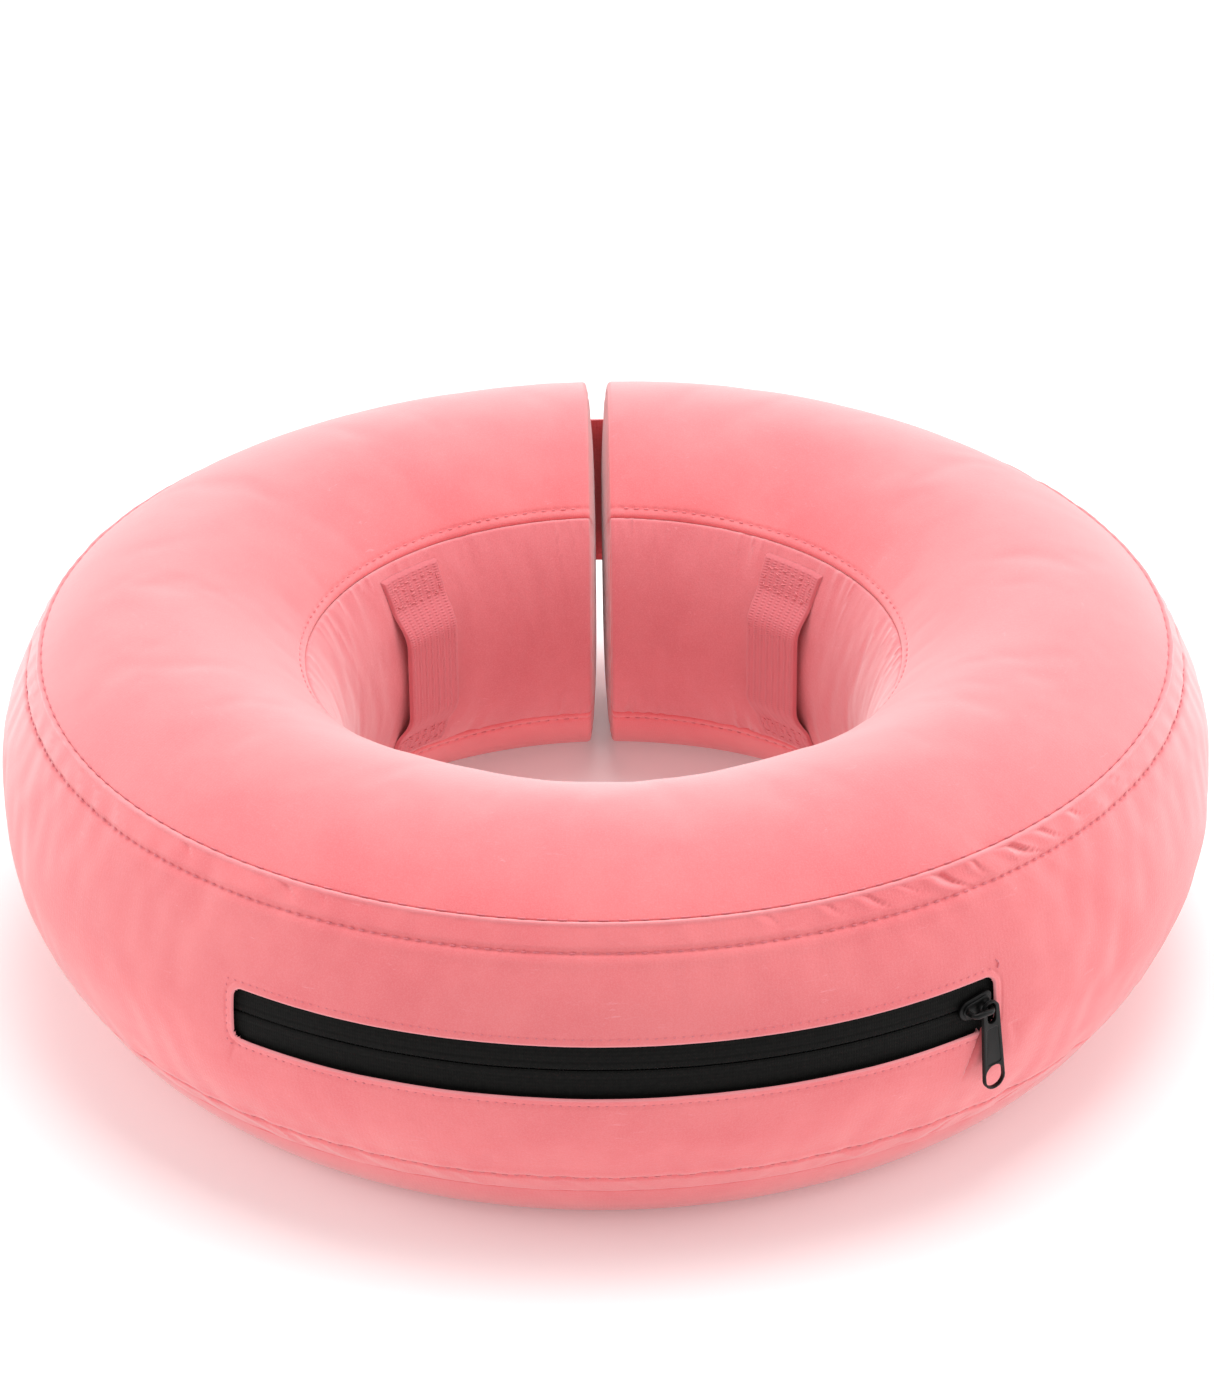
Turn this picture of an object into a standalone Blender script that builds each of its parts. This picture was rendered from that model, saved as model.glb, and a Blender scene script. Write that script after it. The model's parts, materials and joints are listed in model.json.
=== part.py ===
"""Inflatable ring collar for a dog, built as the assembly it is.

A zip-off cloth cover (top and bottom panels, a side band with a zip, a neck lining and two end
panels) surrounds an air bladder with a recessed valve. The ring is open at the back, where a wide
hook-and-loop strap bridges the two ends, and webbing loops in the neck hold the pet's own collar.

Frame: metres, origin at the ring's centre, +Z up along the neck axis, front (the zip) towards -Y,
back opening towards +Y, left arm on -X. The ring bends at two upright axes, one on each side.
"""

import math

import bmesh
import bpy
from mathutils import Matrix, Vector

# Ring, measured on the outside of the cover
OUTER_R = 0.175
NECK_R = 0.075
CROWN_R = 0.125
HALF_HEIGHT = 0.056
REST_Z = -0.060
BASE_DEPTH = 0.061
BAND_CENTRE_R = 0.105
BAND_ARC = OUTER_R - BAND_CENTRE_R
SEAM_R = 0.161
SEAM_Z = 0.042
SHOULDER_Z = 0.0027
BASE_SHOULDER_Z = 0.025
NECK_SEAM_Z = 0.034
CLOTH = 0.0012
SEAM_GAP = 0.0006
RING_STEPS = 40

# Air bladder inside the cover
BLADDER_R = 0.123
BLADDER_HALF_WIDTH = 0.045
BLADDER_HALF_HEIGHT = 0.053
BLADDER_WALL = 0.0010
BLADDER_SIDES = 12

# Where the ring bends, and where it is split at the back
FLEX_R = 0.125
KNUCKLE_R = 0.052
KNUCKLE_GAP = 0.0006
END_PANEL_FACE = 0.0020
FIT_GAP = 0.0003

# Zip in the side band, azimuths measured from the front
ZIP_Z = 0.0040
ZIP_OPENING = 0.0156
ZIP_HALF_ANGLE = math.radians(35.2)
TAPE_HALF_ANGLE = math.radians(38.7)
TAPE_OFFSET = 0.0022
TAPE_THICK = 0.0008
TAPE_WIDTH = 0.0130
TAPE_SLIT = 0.0014
COIL_R = 0.1709
COIL_THICK = 0.0011
COIL_SPREAD = 0.0030
STOP_ANGLE = math.radians(1.3)
SLIDER_ANGLE = math.radians(33.2)
SLIDER_LENGTH = 0.0110
SLIDER_WIDTH = 0.0087
SLIDER_FACE_R = 0.1745
SLIDER_PLATE = 0.0014
SLIDER_BACK_R = 0.1700
SLIDER_BACK_PLATE = 0.0009
ARCH_WIRE = 0.0015
ARCH_SPREAD = 0.0064
ARCH_R = 0.1778

# Pull tab, hanging from the arch's right leg
TAB_R = 0.1760
TAB_THICK = 0.0012
TAB_LENGTH = 0.0273
TAB_TOP_HALF = 0.0029
TAB_FOOT_HALF = 0.0036
TAB_HOLE_R = 0.0027
TAB_EYE_HALF = 0.0013
TAB_EYE_DROP = 0.0036
TAB_LEAN = math.radians(5.5)

# Valve, recessed into the bladder behind the zip; heights are distances from the neck axis
VALVE_RIM = 0.1660
VALVE_FLANGE = 0.1617
VALVE_FLOOR = 0.1500
VALVE_TIP = 0.1400
VALVE_CUP_R = 0.0155
VALVE_FLANGE_R = 0.0185
VALVE_WALL = 0.0012
VALVE_NECK_R = 0.0050
VALVE_BORE_R = 0.0035
PLUG_CAP_R = 0.0052
PLUG_HINGE = 0.0065
PLUG_REACH = 0.0098
FLAP_R = 0.0046
FLAP_THICK = 0.0006

# Closure strap across the back opening, azimuths measured from +X
STRAP_HALF_WIDTH = 0.025
STRAP_END = math.radians(75.5)
STRAP_ROOT = math.radians(96.8)
ANCHOR_START = math.radians(97.2)
ANCHOR_END = math.radians(108.0)
HOOK_START = math.radians(76.0)
HOOK_END = math.radians(87.0)
LOOP_START = math.radians(73.5)
LOOP_END = math.radians(87.8)
PATCH_THICK = 0.0006
PATCH_STEP = 0.0010
STRAP_THICK = 0.0009

# Webbing loops for the pet's own collar
WEB_FACE_R = 0.0711
WEB_THICK = 0.0014
WEB_HALF_WIDTH = 0.010
WEB_FLAT = 0.014
WEB_FOOT_Z = (0.021, 0.029)
WEB_STANDOFF = 0.0021

FRONT = -math.pi / 2

COLOURS = {
    "cover_pink": ((0.83, 0.25, 0.27), 0.9, 0.0),
    "lining_pink": ((0.74, 0.22, 0.25), 0.9, 0.0),
    "bladder_vinyl": ((0.30, 0.42, 0.55), 0.45, 0.0),
    "zip_black": ((0.012, 0.012, 0.012), 0.7, 0.0),
    "zip_metal": ((0.020, 0.020, 0.022), 0.35, 0.8),
    "valve_plastic": ((0.75, 0.76, 0.78), 0.4, 0.0),
    "webbing": ((0.68, 0.20, 0.23), 0.85, 0.0),
    "hook_and_loop": ((0.60, 0.19, 0.22), 0.95, 0.0),
}


def clear_scene():
    for thing in list(bpy.data.objects):
        bpy.data.objects.remove(thing, do_unlink=True)


def new_collection(name):
    made = bpy.data.collections.new(name)
    bpy.context.scene.collection.children.link(made)
    return made


def new_material(name):
    colour, roughness, metallic = COLOURS[name]
    made = bpy.data.materials.new(name)
    made.use_nodes = True
    shader = made.node_tree.nodes["Principled BSDF"]
    shader.inputs["Base Color"].default_value = (*colour, 1.0)
    shader.inputs["Roughness"].default_value = roughness
    shader.inputs["Metallic"].default_value = metallic
    return made


def add_part(name, data, material):
    data.materials.append(MATERIALS[material])
    made = bpy.data.objects.new(name, data)
    PARTS.objects.link(made)
    return made


def add_tool(name, mesh):
    """A hidden cutter or joining shape."""
    made = bpy.data.objects.new(name, mesh)
    made.hide_render = True
    made.display_type = "WIRE"
    TOOLS.objects.link(made)
    return made


def axis_empty(name, place):
    made = bpy.data.objects.new(name, None)
    made.location = place
    made.empty_display_size = 0.02
    PARTS.objects.link(made)
    return made


def hang(part, empty):
    """Parents a part to an empty that stands on its joint's axis, and leaves it where it is."""
    part.parent = empty
    part.matrix_parent_inverse = Matrix.Translation(-empty.location)


def boolean(part, tool, operation):
    modifier = part.modifiers.new(tool.name, "BOOLEAN")
    modifier.operation = operation
    modifier.object = tool


def mesh_from(bm, name):
    bmesh.ops.recalc_face_normals(bm, faces=bm.faces[:])
    mesh = bpy.data.meshes.new(name)
    bm.to_mesh(mesh)
    bm.free()
    return mesh


def mesh_of_curve(curve_object):
    """A curve's solid as a mesh with its caps welded on; the curve object is removed."""
    bpy.context.view_layer.update()
    graph = bpy.context.evaluated_depsgraph_get()
    mesh = bpy.data.meshes.new_from_object(curve_object.evaluated_get(graph))
    bm = bmesh.new()
    bm.from_mesh(mesh)
    bmesh.ops.remove_doubles(bm, verts=bm.verts[:], dist=1e-6)
    bm.to_mesh(mesh)
    bm.free()
    bpy.data.objects.remove(curve_object)
    return mesh


def arc(centre, radii, start, end, count):
    """Points along an elliptical arc, from start to end angle inclusive."""
    points = []
    for i in range(count + 1):
        angle = start + (end - start) * i / count
        points.append((centre[0] + radii[0] * math.cos(angle), centre[1] + radii[1] * math.sin(angle)))
    return points


def trimmed(points, trim):
    """The same open outline with both ends shortened by trim."""
    ends = []
    for end, inner in ((points[0], points[1]), (points[-1], points[-2])):
        step = Vector(inner) - Vector(end)
        ends.append(tuple(Vector(end) + step.normalized() * trim))
    return [ends[0], *points[1:-1], ends[1]]


# The cover's outline, in one turn around the tube: each piece is (radius, z) points that carry on
# from the last, over the crown, down the outer side, under the base and up the neck.

SHOULDER_ARC = math.hypot(SEAM_R - CROWN_R, SEAM_Z - SHOULDER_Z)
SEAM_ANGLE = math.atan2(SEAM_Z - SHOULDER_Z, SEAM_R - CROWN_R)
NECK_RADII = (CROWN_R - NECK_R, HALF_HEIGHT)
NECK_SEAM_ANGLE = math.asin(NECK_SEAM_Z / HALF_HEIGHT)
BASE_ARC = math.hypot(SEAM_R - CROWN_R, SEAM_Z - BASE_SHOULDER_Z)
BASE_SEAM_ANGLE = math.atan2(SEAM_Z - BASE_SHOULDER_Z, SEAM_R - CROWN_R)
BASE_NECK_SEAM_ANGLE = math.asin(NECK_SEAM_Z / BASE_DEPTH)
BASE_NECK_RADII = (
    NECK_RADII[0] * math.cos(NECK_SEAM_ANGLE) / math.cos(BASE_NECK_SEAM_ANGLE),
    BASE_DEPTH,
)


def top_outline():
    neck = arc((CROWN_R, 0), NECK_RADII, math.pi - NECK_SEAM_ANGLE, math.pi / 2, 4)
    shoulder = arc((CROWN_R, SHOULDER_Z), (SHOULDER_ARC, SHOULDER_ARC), math.pi / 2, SEAM_ANGLE, 4)
    return neck[:-1] + shoulder


def band_outline():
    half = math.asin(SEAM_Z / BAND_ARC)
    return arc((BAND_CENTRE_R, 0), (BAND_ARC, BAND_ARC), half, -half, 8)


def bottom_outline():
    """Fuller than the top, because the filled tube sags, and flattened where the collar rests."""
    outer_lift = math.asin((-REST_Z - BASE_SHOULDER_Z) / BASE_ARC)
    inner_lift = math.asin(-REST_Z / BASE_DEPTH)
    shoulder = arc((CROWN_R, -BASE_SHOULDER_Z), (BASE_ARC, BASE_ARC), -BASE_SEAM_ANGLE, -outer_lift, 4)
    neck = arc((CROWN_R, 0), BASE_NECK_RADII, -math.pi + inner_lift, -math.pi + BASE_NECK_SEAM_ANGLE, 4)
    return shoulder + neck


def lining_outline():
    return arc((CROWN_R, 0), NECK_RADII, math.pi + NECK_SEAM_ANGLE, math.pi - NECK_SEAM_ANGLE, 6)


def bladder_outline():
    radii = (BLADDER_HALF_WIDTH, BLADDER_HALF_HEIGHT)
    return arc((BLADDER_R, 0), radii, math.pi, -math.pi, BLADDER_SIDES)[:-1]


def profile_mesh(name, points, azimuth=0.0, closed=False):
    """An outline of (radius, z) points as edges, standing at an azimuth, ready for a Screw."""
    mesh = bpy.data.meshes.new(name)
    turn = (math.cos(azimuth), math.sin(azimuth))
    edges = [(i, i + 1) for i in range(len(points) - 1)]
    if closed:
        edges.append((len(points) - 1, 0))
    mesh.from_pydata([(r * turn[0], r * turn[1], z) for r, z in points], edges, [])
    return mesh


def spin(part, steps, sweep=2 * math.pi):
    screw = part.modifiers.new("turn", "SCREW")
    screw.angle = sweep
    screw.steps = steps
    screw.render_steps = steps
    screw.use_merge_vertices = True
    screw.merge_threshold = 0.0001
    screw.use_smooth_shade = True


def thicken(part, thickness, outward=False):
    wall = part.modifiers.new("wall", "SOLIDIFY")
    wall.thickness = thickness
    wall.offset = 1.0 if outward else -1.0
    wall.use_even_offset = True


def ring_shell(name, outline, thickness, material, closed=False):
    part = add_part(name, profile_mesh(name, outline, closed=closed), material)
    spin(part, RING_STEPS)
    thicken(part, thickness)
    return part


def prism(name, outline, low, high):
    """A hidden upright tool: a plan outline raised from low to high."""
    bm = bmesh.new()
    face = bm.faces.new([bm.verts.new((x, y, low)) for x, y in outline])
    raised = bmesh.ops.extrude_face_region(bm, geom=[face])
    tops = [item for item in raised["geom"] if isinstance(item, bmesh.types.BMVert)]
    bmesh.ops.translate(bm, verts=tops, vec=(0, 0, high - low))
    return add_tool(name, mesh_from(bm, name))


# Plan regions of the three sections. Each arm ends in a round knuckle centred on its flex axis, and
# the front section is hollowed to match, so the arms swing with no overlap.

REGION = 0.2
REGION_Z = 0.08
KNUCKLE_SIDES = 16


def arm_region(name, side, back_gap):
    knuckle = arc((-FLEX_R, 0), (KNUCKLE_R, KNUCKLE_R), math.pi, 2 * math.pi, KNUCKLE_SIDES)
    outline = [(-back_gap, 0), (-back_gap, REGION), (-REGION, REGION), (-REGION, 0), *knuckle]
    return prism(name, [(x * side, y) for x, y in outline], -REGION_Z, REGION_Z)


def front_region():
    hollow_r = KNUCKLE_R + KNUCKLE_GAP
    left = arc((-FLEX_R, 0), (hollow_r, hollow_r), math.pi, 2 * math.pi, KNUCKLE_SIDES)
    right = [(-x, y) for x, y in reversed(left)]
    outline = [(-REGION, 0), *left, *right, (REGION, 0), (REGION, -REGION), (-REGION, -REGION)]
    return prism("front_region", outline, -REGION_Z, REGION_Z)


def make_cover():
    """Four shells of cloth, each cut into a front section and two arms."""
    band_end = END_PANEL_FACE + CLOTH + FIT_GAP
    regions = {
        "front": front_region(),
        "left": arm_region("left_region", 1, band_end),
        "right": arm_region("right_region", -1, band_end),
    }
    outlines = {
        "top_panel": (top_outline(), "cover_pink"),
        "side_band": (band_outline(), "cover_pink"),
        "bottom_panel": (bottom_outline(), "cover_pink"),
        "neck_lining": (lining_outline(), "lining_pink"),
    }
    for kind, (outline, material) in outlines.items():
        for section, region in regions.items():
            part = ring_shell(f"{kind}_{section}", trimmed(outline, SEAM_GAP / 2), CLOTH, material)
            boolean(part, region, "INTERSECT")
            BODIES[section].append(part)
    slot = [(0, 0)]
    reach = REGION / math.cos(ZIP_HALF_ANGLE)
    for side in (-1, 1):
        angle = FRONT + side * ZIP_HALF_ANGLE
        slot.append((math.cos(angle) * reach, math.sin(angle) * reach))
    zip_low = ZIP_Z - ZIP_OPENING / 2
    slot_tool = prism("zip_slot", slot, zip_low, zip_low + ZIP_OPENING)
    boolean(bpy.data.objects["side_band_front"], slot_tool, "DIFFERENCE")


def make_end_panel(name, side):
    """The flat cloth panel that closes one end of the tube at the back opening."""
    outline = top_outline() + band_outline()[1:] + bottom_outline()[1:] + lining_outline()[1:-1]
    curve = bpy.data.curves.new(name, "CURVE")
    curve.dimensions = "2D"
    curve.fill_mode = "BOTH"
    curve.extrude = CLOTH / 2
    line = curve.splines.new("POLY")
    line.points.add(len(outline) - 1)
    for point, (radius, z) in zip(line.points, outline):
        point.co = (radius, z, 0, 1)
    line.use_cyclic_u = True
    holder = bpy.data.objects.new(name, curve)
    PARTS.objects.link(holder)
    mesh = mesh_of_curve(holder)
    bpy.data.curves.remove(curve)
    part = add_part(name, mesh, "cover_pink")
    part.rotation_euler = (math.pi / 2, 0, math.pi / 2)
    part.location = (side * (END_PANEL_FACE + CLOTH / 2), 0, 0)
    return part


def make_bladder():
    """A thin ring tube; the arms' ends are closed by welded discs, the front has the valve hole."""
    end_gap = END_PANEL_FACE + CLOTH + 2 * FIT_GAP
    for section in ("front", "left", "right"):
        part = ring_shell(f"bladder_{section}", bladder_outline(), BLADDER_WALL, "bladder_vinyl", closed=True)
        if section == "front":
            boolean(part, bpy.data.objects["front_region"], "INTERSECT")
            boolean(part, valve_hole(), "DIFFERENCE")
        else:
            side = 1 if section == "left" else -1
            boolean(part, arm_region(f"bladder_{section}_region", side, end_gap), "INTERSECT")
            boolean(part, bladder_disc(f"bladder_{section}_disc", -side, end_gap), "UNION")
        BODIES[section].append(part)


def bladder_disc(name, side, end_gap):
    """The end disc, its rim buried in the bladder's wall."""
    bm = bmesh.new()
    made = bmesh.ops.create_cone(
        bm, cap_ends=True, segments=2 * BLADDER_SIDES, radius1=1, radius2=1, depth=BLADDER_WALL
    )
    inset = BLADDER_WALL / 2
    bmesh.ops.scale(
        bm,
        verts=made["verts"],
        vec=(BLADDER_HALF_HEIGHT - inset, BLADDER_HALF_WIDTH - inset, 1),
    )
    bmesh.ops.rotate(bm, verts=bm.verts[:], cent=(0, 0, 0), matrix=Matrix.Rotation(math.pi / 2, 3, "Y"))
    x = side * (end_gap + BLADDER_WALL)
    bmesh.ops.translate(bm, verts=bm.verts[:], vec=(x, BLADDER_R, 0))
    return add_tool(name, mesh_from(bm, name))


def valve_hole():
    """A round tool on the valve's axis, wide enough to clear the cup."""
    bm = bmesh.new()
    radius = VALVE_CUP_R + FIT_GAP
    bmesh.ops.create_cone(bm, cap_ends=True, segments=32, radius1=radius, radius2=radius, depth=0.02)
    bmesh.ops.rotate(bm, verts=bm.verts[:], cent=(0, 0, 0), matrix=Matrix.Rotation(math.pi / 2, 3, "X"))
    bmesh.ops.translate(bm, verts=bm.verts[:], vec=(0, -VALVE_RIM, 0))
    return add_tool("valve_hole", mesh_from(bm, "valve_hole"))


def turned(name, outline, material, steps, closed):
    """A piece turned about the valve's axis, which points out of the front."""
    part = add_part(name, profile_mesh(name, outline, closed=closed), material)
    spin(part, steps)
    part.rotation_euler = (math.pi / 2, 0, 0)
    return part


def make_valve():
    cup_inner = VALVE_CUP_R - VALVE_WALL
    body = [
        (VALVE_CUP_R, VALVE_RIM),
        (VALVE_CUP_R, VALVE_FLANGE),
        (VALVE_FLANGE_R, VALVE_FLANGE),
        (VALVE_FLANGE_R, VALVE_FLANGE - VALVE_WALL),
        (VALVE_CUP_R, VALVE_FLANGE - VALVE_WALL),
        (VALVE_CUP_R, VALVE_FLOOR - VALVE_WALL),
        (VALVE_NECK_R, VALVE_FLOOR - VALVE_WALL),
        (VALVE_NECK_R, VALVE_TIP),
        (VALVE_BORE_R, VALVE_TIP),
        (VALVE_BORE_R, VALVE_FLOOR),
        (cup_inner, VALVE_FLOOR),
        (cup_inner, VALVE_RIM),
    ]
    BODIES["front"].append(turned("valve_body", body, "valve_plastic", 24, closed=True))
    make_plug()
    make_flap()


def make_plug():
    """A stopper that tips out of the bore about a hinge beside it.

    At each depth its radius keeps its far side within PLUG_REACH of the hinge, so it clears the bore.
    """
    seat = VALVE_FLOOR + FIT_GAP
    hinge_height = seat + 0.0007
    top = seat + 0.0015
    outline = [(0, top), (PLUG_CAP_R - 0.0005, top), (PLUG_CAP_R, top - 0.0005), (PLUG_CAP_R, seat)]
    for drop in (0.0, 0.0015, 0.0030, 0.0046):
        depth = hinge_height - seat + drop
        outline.append((math.sqrt(PLUG_REACH**2 - depth**2) - PLUG_HINGE - 0.0001, seat - drop))
    outline.append((0, seat - 0.0050))
    plug = turned("valve_plug", outline, "valve_plastic", 16, closed=False)
    bm = bmesh.new()
    reach = PLUG_HINGE - PLUG_CAP_R + 0.0008
    bmesh.ops.create_cube(bm, size=1)
    bmesh.ops.scale(bm, verts=bm.verts[:], vec=(0.0036, 0.0009, reach))
    bmesh.ops.translate(bm, verts=bm.verts[:], vec=(0, -hinge_height, PLUG_HINGE - reach / 2))
    arm = add_tool("plug_arm", mesh_from(bm, "plug_arm"))
    boolean(plug, arm, "UNION")
    bm = bmesh.new()
    bmesh.ops.create_cone(bm, cap_ends=True, segments=12, radius1=0.0007, radius2=0.0007, depth=0.0050)
    bmesh.ops.rotate(bm, verts=bm.verts[:], cent=(0, 0, 0), matrix=Matrix.Rotation(math.pi / 2, 3, "Y"))
    bmesh.ops.translate(bm, verts=bm.verts[:], vec=(0, -hinge_height, PLUG_HINGE))
    barrel = add_tool("plug_barrel", mesh_from(bm, "plug_barrel"))
    boolean(plug, barrel, "UNION")
    hang(plug, axis_empty("plug_axis", (0, -hinge_height, PLUG_HINGE)))


def make_flap():
    """The one-way flap over the valve's inner end, hinged at its upper edge."""
    top = VALVE_TIP - FIT_GAP
    outline = [(0, top), (FLAP_R, top), (FLAP_R, top - FLAP_THICK), (0, top - FLAP_THICK)]
    flap = turned("valve_flap", outline, "valve_plastic", 16, closed=False)
    hang(flap, axis_empty("flap_axis", (0, -(top - FLAP_THICK / 2), FLAP_R)))


def wall_patch(name, lift, thickness, half_width, start, end, steps, material):
    """A piece that lies on the outer wall, lift above the cloth, between two azimuths from +X."""
    radius = BAND_ARC + lift
    half = math.asin(half_width / radius)
    outline = arc((BAND_CENTRE_R, 0), (radius, radius), half, -half, 6)
    part = add_part(name, profile_mesh(name, outline, start), material)
    spin(part, steps, end - start)
    thicken(part, thickness, outward=True)
    return part


def make_closure():
    """The strap's sewn root, the strap and its hook patch, and the loop patch it grips."""
    lift = 0.0004
    BODIES["left"].append(
        wall_patch("strap_anchor", lift, 0.0012, STRAP_HALF_WIDTH, ANCHOR_START, ANCHOR_END, 6, "webbing")
    )
    BODIES["right"].append(
        wall_patch(
            "loop_patch", lift, PATCH_THICK, STRAP_HALF_WIDTH - 0.001, LOOP_START, LOOP_END, 6, "hook_and_loop"
        )
    )
    hook = wall_patch(
        "hook_patch",
        lift + PATCH_STEP,
        PATCH_THICK,
        STRAP_HALF_WIDTH - 0.002,
        HOOK_START,
        HOOK_END,
        6,
        "hook_and_loop",
    )
    strap_lift = lift + 2 * PATCH_STEP
    strap = wall_patch(
        "closure_strap", strap_lift, STRAP_THICK, STRAP_HALF_WIDTH, STRAP_END, STRAP_ROOT, 10, "webbing"
    )
    hinge_angle = (STRAP_ROOT + ANCHOR_START) / 2
    hinge_r = OUTER_R + strap_lift + STRAP_THICK / 2
    hinge = axis_empty("strap_axis", (math.cos(hinge_angle) * hinge_r, math.sin(hinge_angle) * hinge_r, 0))
    hinge.parent = FLEX["left"]
    hinge.matrix_parent_inverse = Matrix.Translation(-FLEX["left"].location)
    for part in (hook, strap):
        part.parent = hinge
        part.matrix_parent_inverse = Matrix.Translation(-hinge.location)


def lining_radius(z):
    return CROWN_R - NECK_RADII[0] * math.sqrt(1 - (z / HALF_HEIGHT) ** 2)


def make_collar_loop(name, azimuth):
    """A strip of webbing sewn down at both ends, with a flat middle for the pet's collar to pass behind."""
    middle_r = WEB_FACE_R + WEB_THICK / 2
    heights = [WEB_FOOT_Z[1], WEB_FOOT_Z[0]]
    side = [(lining_radius(z) - WEB_STANDOFF, z) for z in heights]
    side += [(middle_r + 0.0009, WEB_FLAT + 0.0022), (middle_r, WEB_FLAT)]
    path = side + [(r, -z) for r, z in reversed(side)]
    bm = bmesh.new()
    rail = [bm.verts.new((r, -WEB_HALF_WIDTH, z)) for r, z in path]
    edges = [bm.edges.new(pair) for pair in zip(rail, rail[1:])]
    swept = bmesh.ops.extrude_edge_only(bm, edges=edges)
    moved = [item for item in swept["geom"] if isinstance(item, bmesh.types.BMVert)]
    bmesh.ops.translate(bm, verts=moved, vec=(0, 2 * WEB_HALF_WIDTH, 0))
    part = add_part(name, mesh_from(bm, name), "webbing")
    wall = part.modifiers.new("wall", "SOLIDIFY")
    wall.thickness = WEB_THICK
    wall.offset = 0.0
    wall.use_even_offset = True
    part.rotation_euler = (0, 0, azimuth)
    return part


def make_zip_tapes():
    """The two woven tapes sewn behind the opening, with a slit between them for the slider's post."""
    radius = BAND_ARC - TAPE_OFFSET
    for name, low, high in (
        ("zip_tape_upper", ZIP_Z + TAPE_SLIT / 2, ZIP_Z + TAPE_WIDTH),
        ("zip_tape_lower", ZIP_Z - TAPE_WIDTH, ZIP_Z - TAPE_SLIT / 2),
    ):
        angles = (math.asin(high / radius), math.asin(low / radius))
        outline = arc((BAND_CENTRE_R, 0), (radius, radius), *angles, 2)
        part = add_part(name, profile_mesh(name, outline, FRONT - TAPE_HALF_ANGLE), "zip_black")
        spin(part, 34, 2 * TAPE_HALF_ANGLE)
        thicken(part, TAPE_THICK)
        BODIES["front"].append(part)


def make_zip_coils():
    """The two rows of coil on the tapes' inner faces."""
    steps = 26
    for name, side in (("zip_coil_upper", 1), ("zip_coil_lower", -1)):
        curve = bpy.data.curves.new(name, "CURVE")
        curve.dimensions = "3D"
        curve.bevel_depth = COIL_THICK / 2
        curve.bevel_resolution = 1
        curve.use_fill_caps = True
        line = curve.splines.new("POLY")
        line.points.add(steps)
        for i, point in enumerate(line.points):
            angle = FRONT + ZIP_HALF_ANGLE * (2 * i / steps - 1)
            z = ZIP_Z + side * COIL_SPREAD / 2
            point.co = (math.cos(angle) * COIL_R, math.sin(angle) * COIL_R, z, 1)
        part = add_part(name, curve, "zip_black")
        BODIES["front"].append(part)


def make_zip_stops():
    """A crimped stop across the coils beyond each end of the opening."""
    half_height = COIL_SPREAD / 2 + COIL_THICK
    for name, middle in (
        ("zip_top_stop", ZIP_HALF_ANGLE + STOP_ANGLE / 2 + math.radians(0.3)),
        ("zip_bottom_stop", -ZIP_HALF_ANGLE - STOP_ANGLE / 2 - math.radians(0.3)),
    ):
        bm = bmesh.new()
        bmesh.ops.create_cube(bm, size=1)
        bmesh.ops.scale(bm, verts=bm.verts[:], vec=(COIL_THICK, COIL_R * STOP_ANGLE, 2 * half_height))
        part = add_part(name, mesh_from(bm, name), "zip_metal")
        angle = FRONT + middle
        part.location = (math.cos(angle) * COIL_R, math.sin(angle) * COIL_R, ZIP_Z)
        part.rotation_euler = (0, 0, angle)
        edge = part.modifiers.new("edge", "BEVEL")
        edge.width = 0.0002
        edge.segments = 1
        BODIES["front"].append(part)


def block(name, low, high, bevel):
    """A hidden box between two corners in the slider's frame: x out of the ring, y along the zip."""
    bm = bmesh.new()
    bmesh.ops.create_cube(bm, size=1)
    size = Vector(high) - Vector(low)
    bmesh.ops.scale(bm, verts=bm.verts[:], vec=size)
    bmesh.ops.translate(bm, verts=bm.verts[:], vec=(Vector(high) + Vector(low)) / 2)
    if bevel:
        radial = [e for e in bm.edges if abs((e.verts[0].co - e.verts[1].co).x) > 1e-5]
        bmesh.ops.bevel(bm, geom=radial, offset=bevel, segments=3, profile=0.5, affect="EDGES")
    return mesh_from(bm, name)


def slider_arch():
    """The bridge on the slider's face that the pull tab's eye goes round."""
    curve = bpy.data.curves.new("slider_arch", "CURVE")
    curve.dimensions = "3D"
    curve.bevel_depth = ARCH_WIRE / 2
    curve.bevel_resolution = 2
    curve.use_fill_caps = True
    corner = 0.0012
    half = ARCH_SPREAD / 2
    start = SLIDER_FACE_R - SLIDER_PLATE / 2
    bend = arc((ARCH_R - corner, half - corner), (corner, corner), math.pi / 2, 0, 3)
    path = [(start, half), *bend]
    path += [(r, -t) for r, t in reversed(path)]
    line = curve.splines.new("POLY")
    line.points.add(len(path) - 1)
    for point, (r, t) in zip(line.points, path):
        point.co = (r, t, ZIP_Z, 1)
    holder = bpy.data.objects.new("slider_arch", curve)
    TOOLS.objects.link(holder)
    mesh = mesh_of_curve(holder)
    bpy.data.curves.remove(curve)
    return mesh


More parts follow.
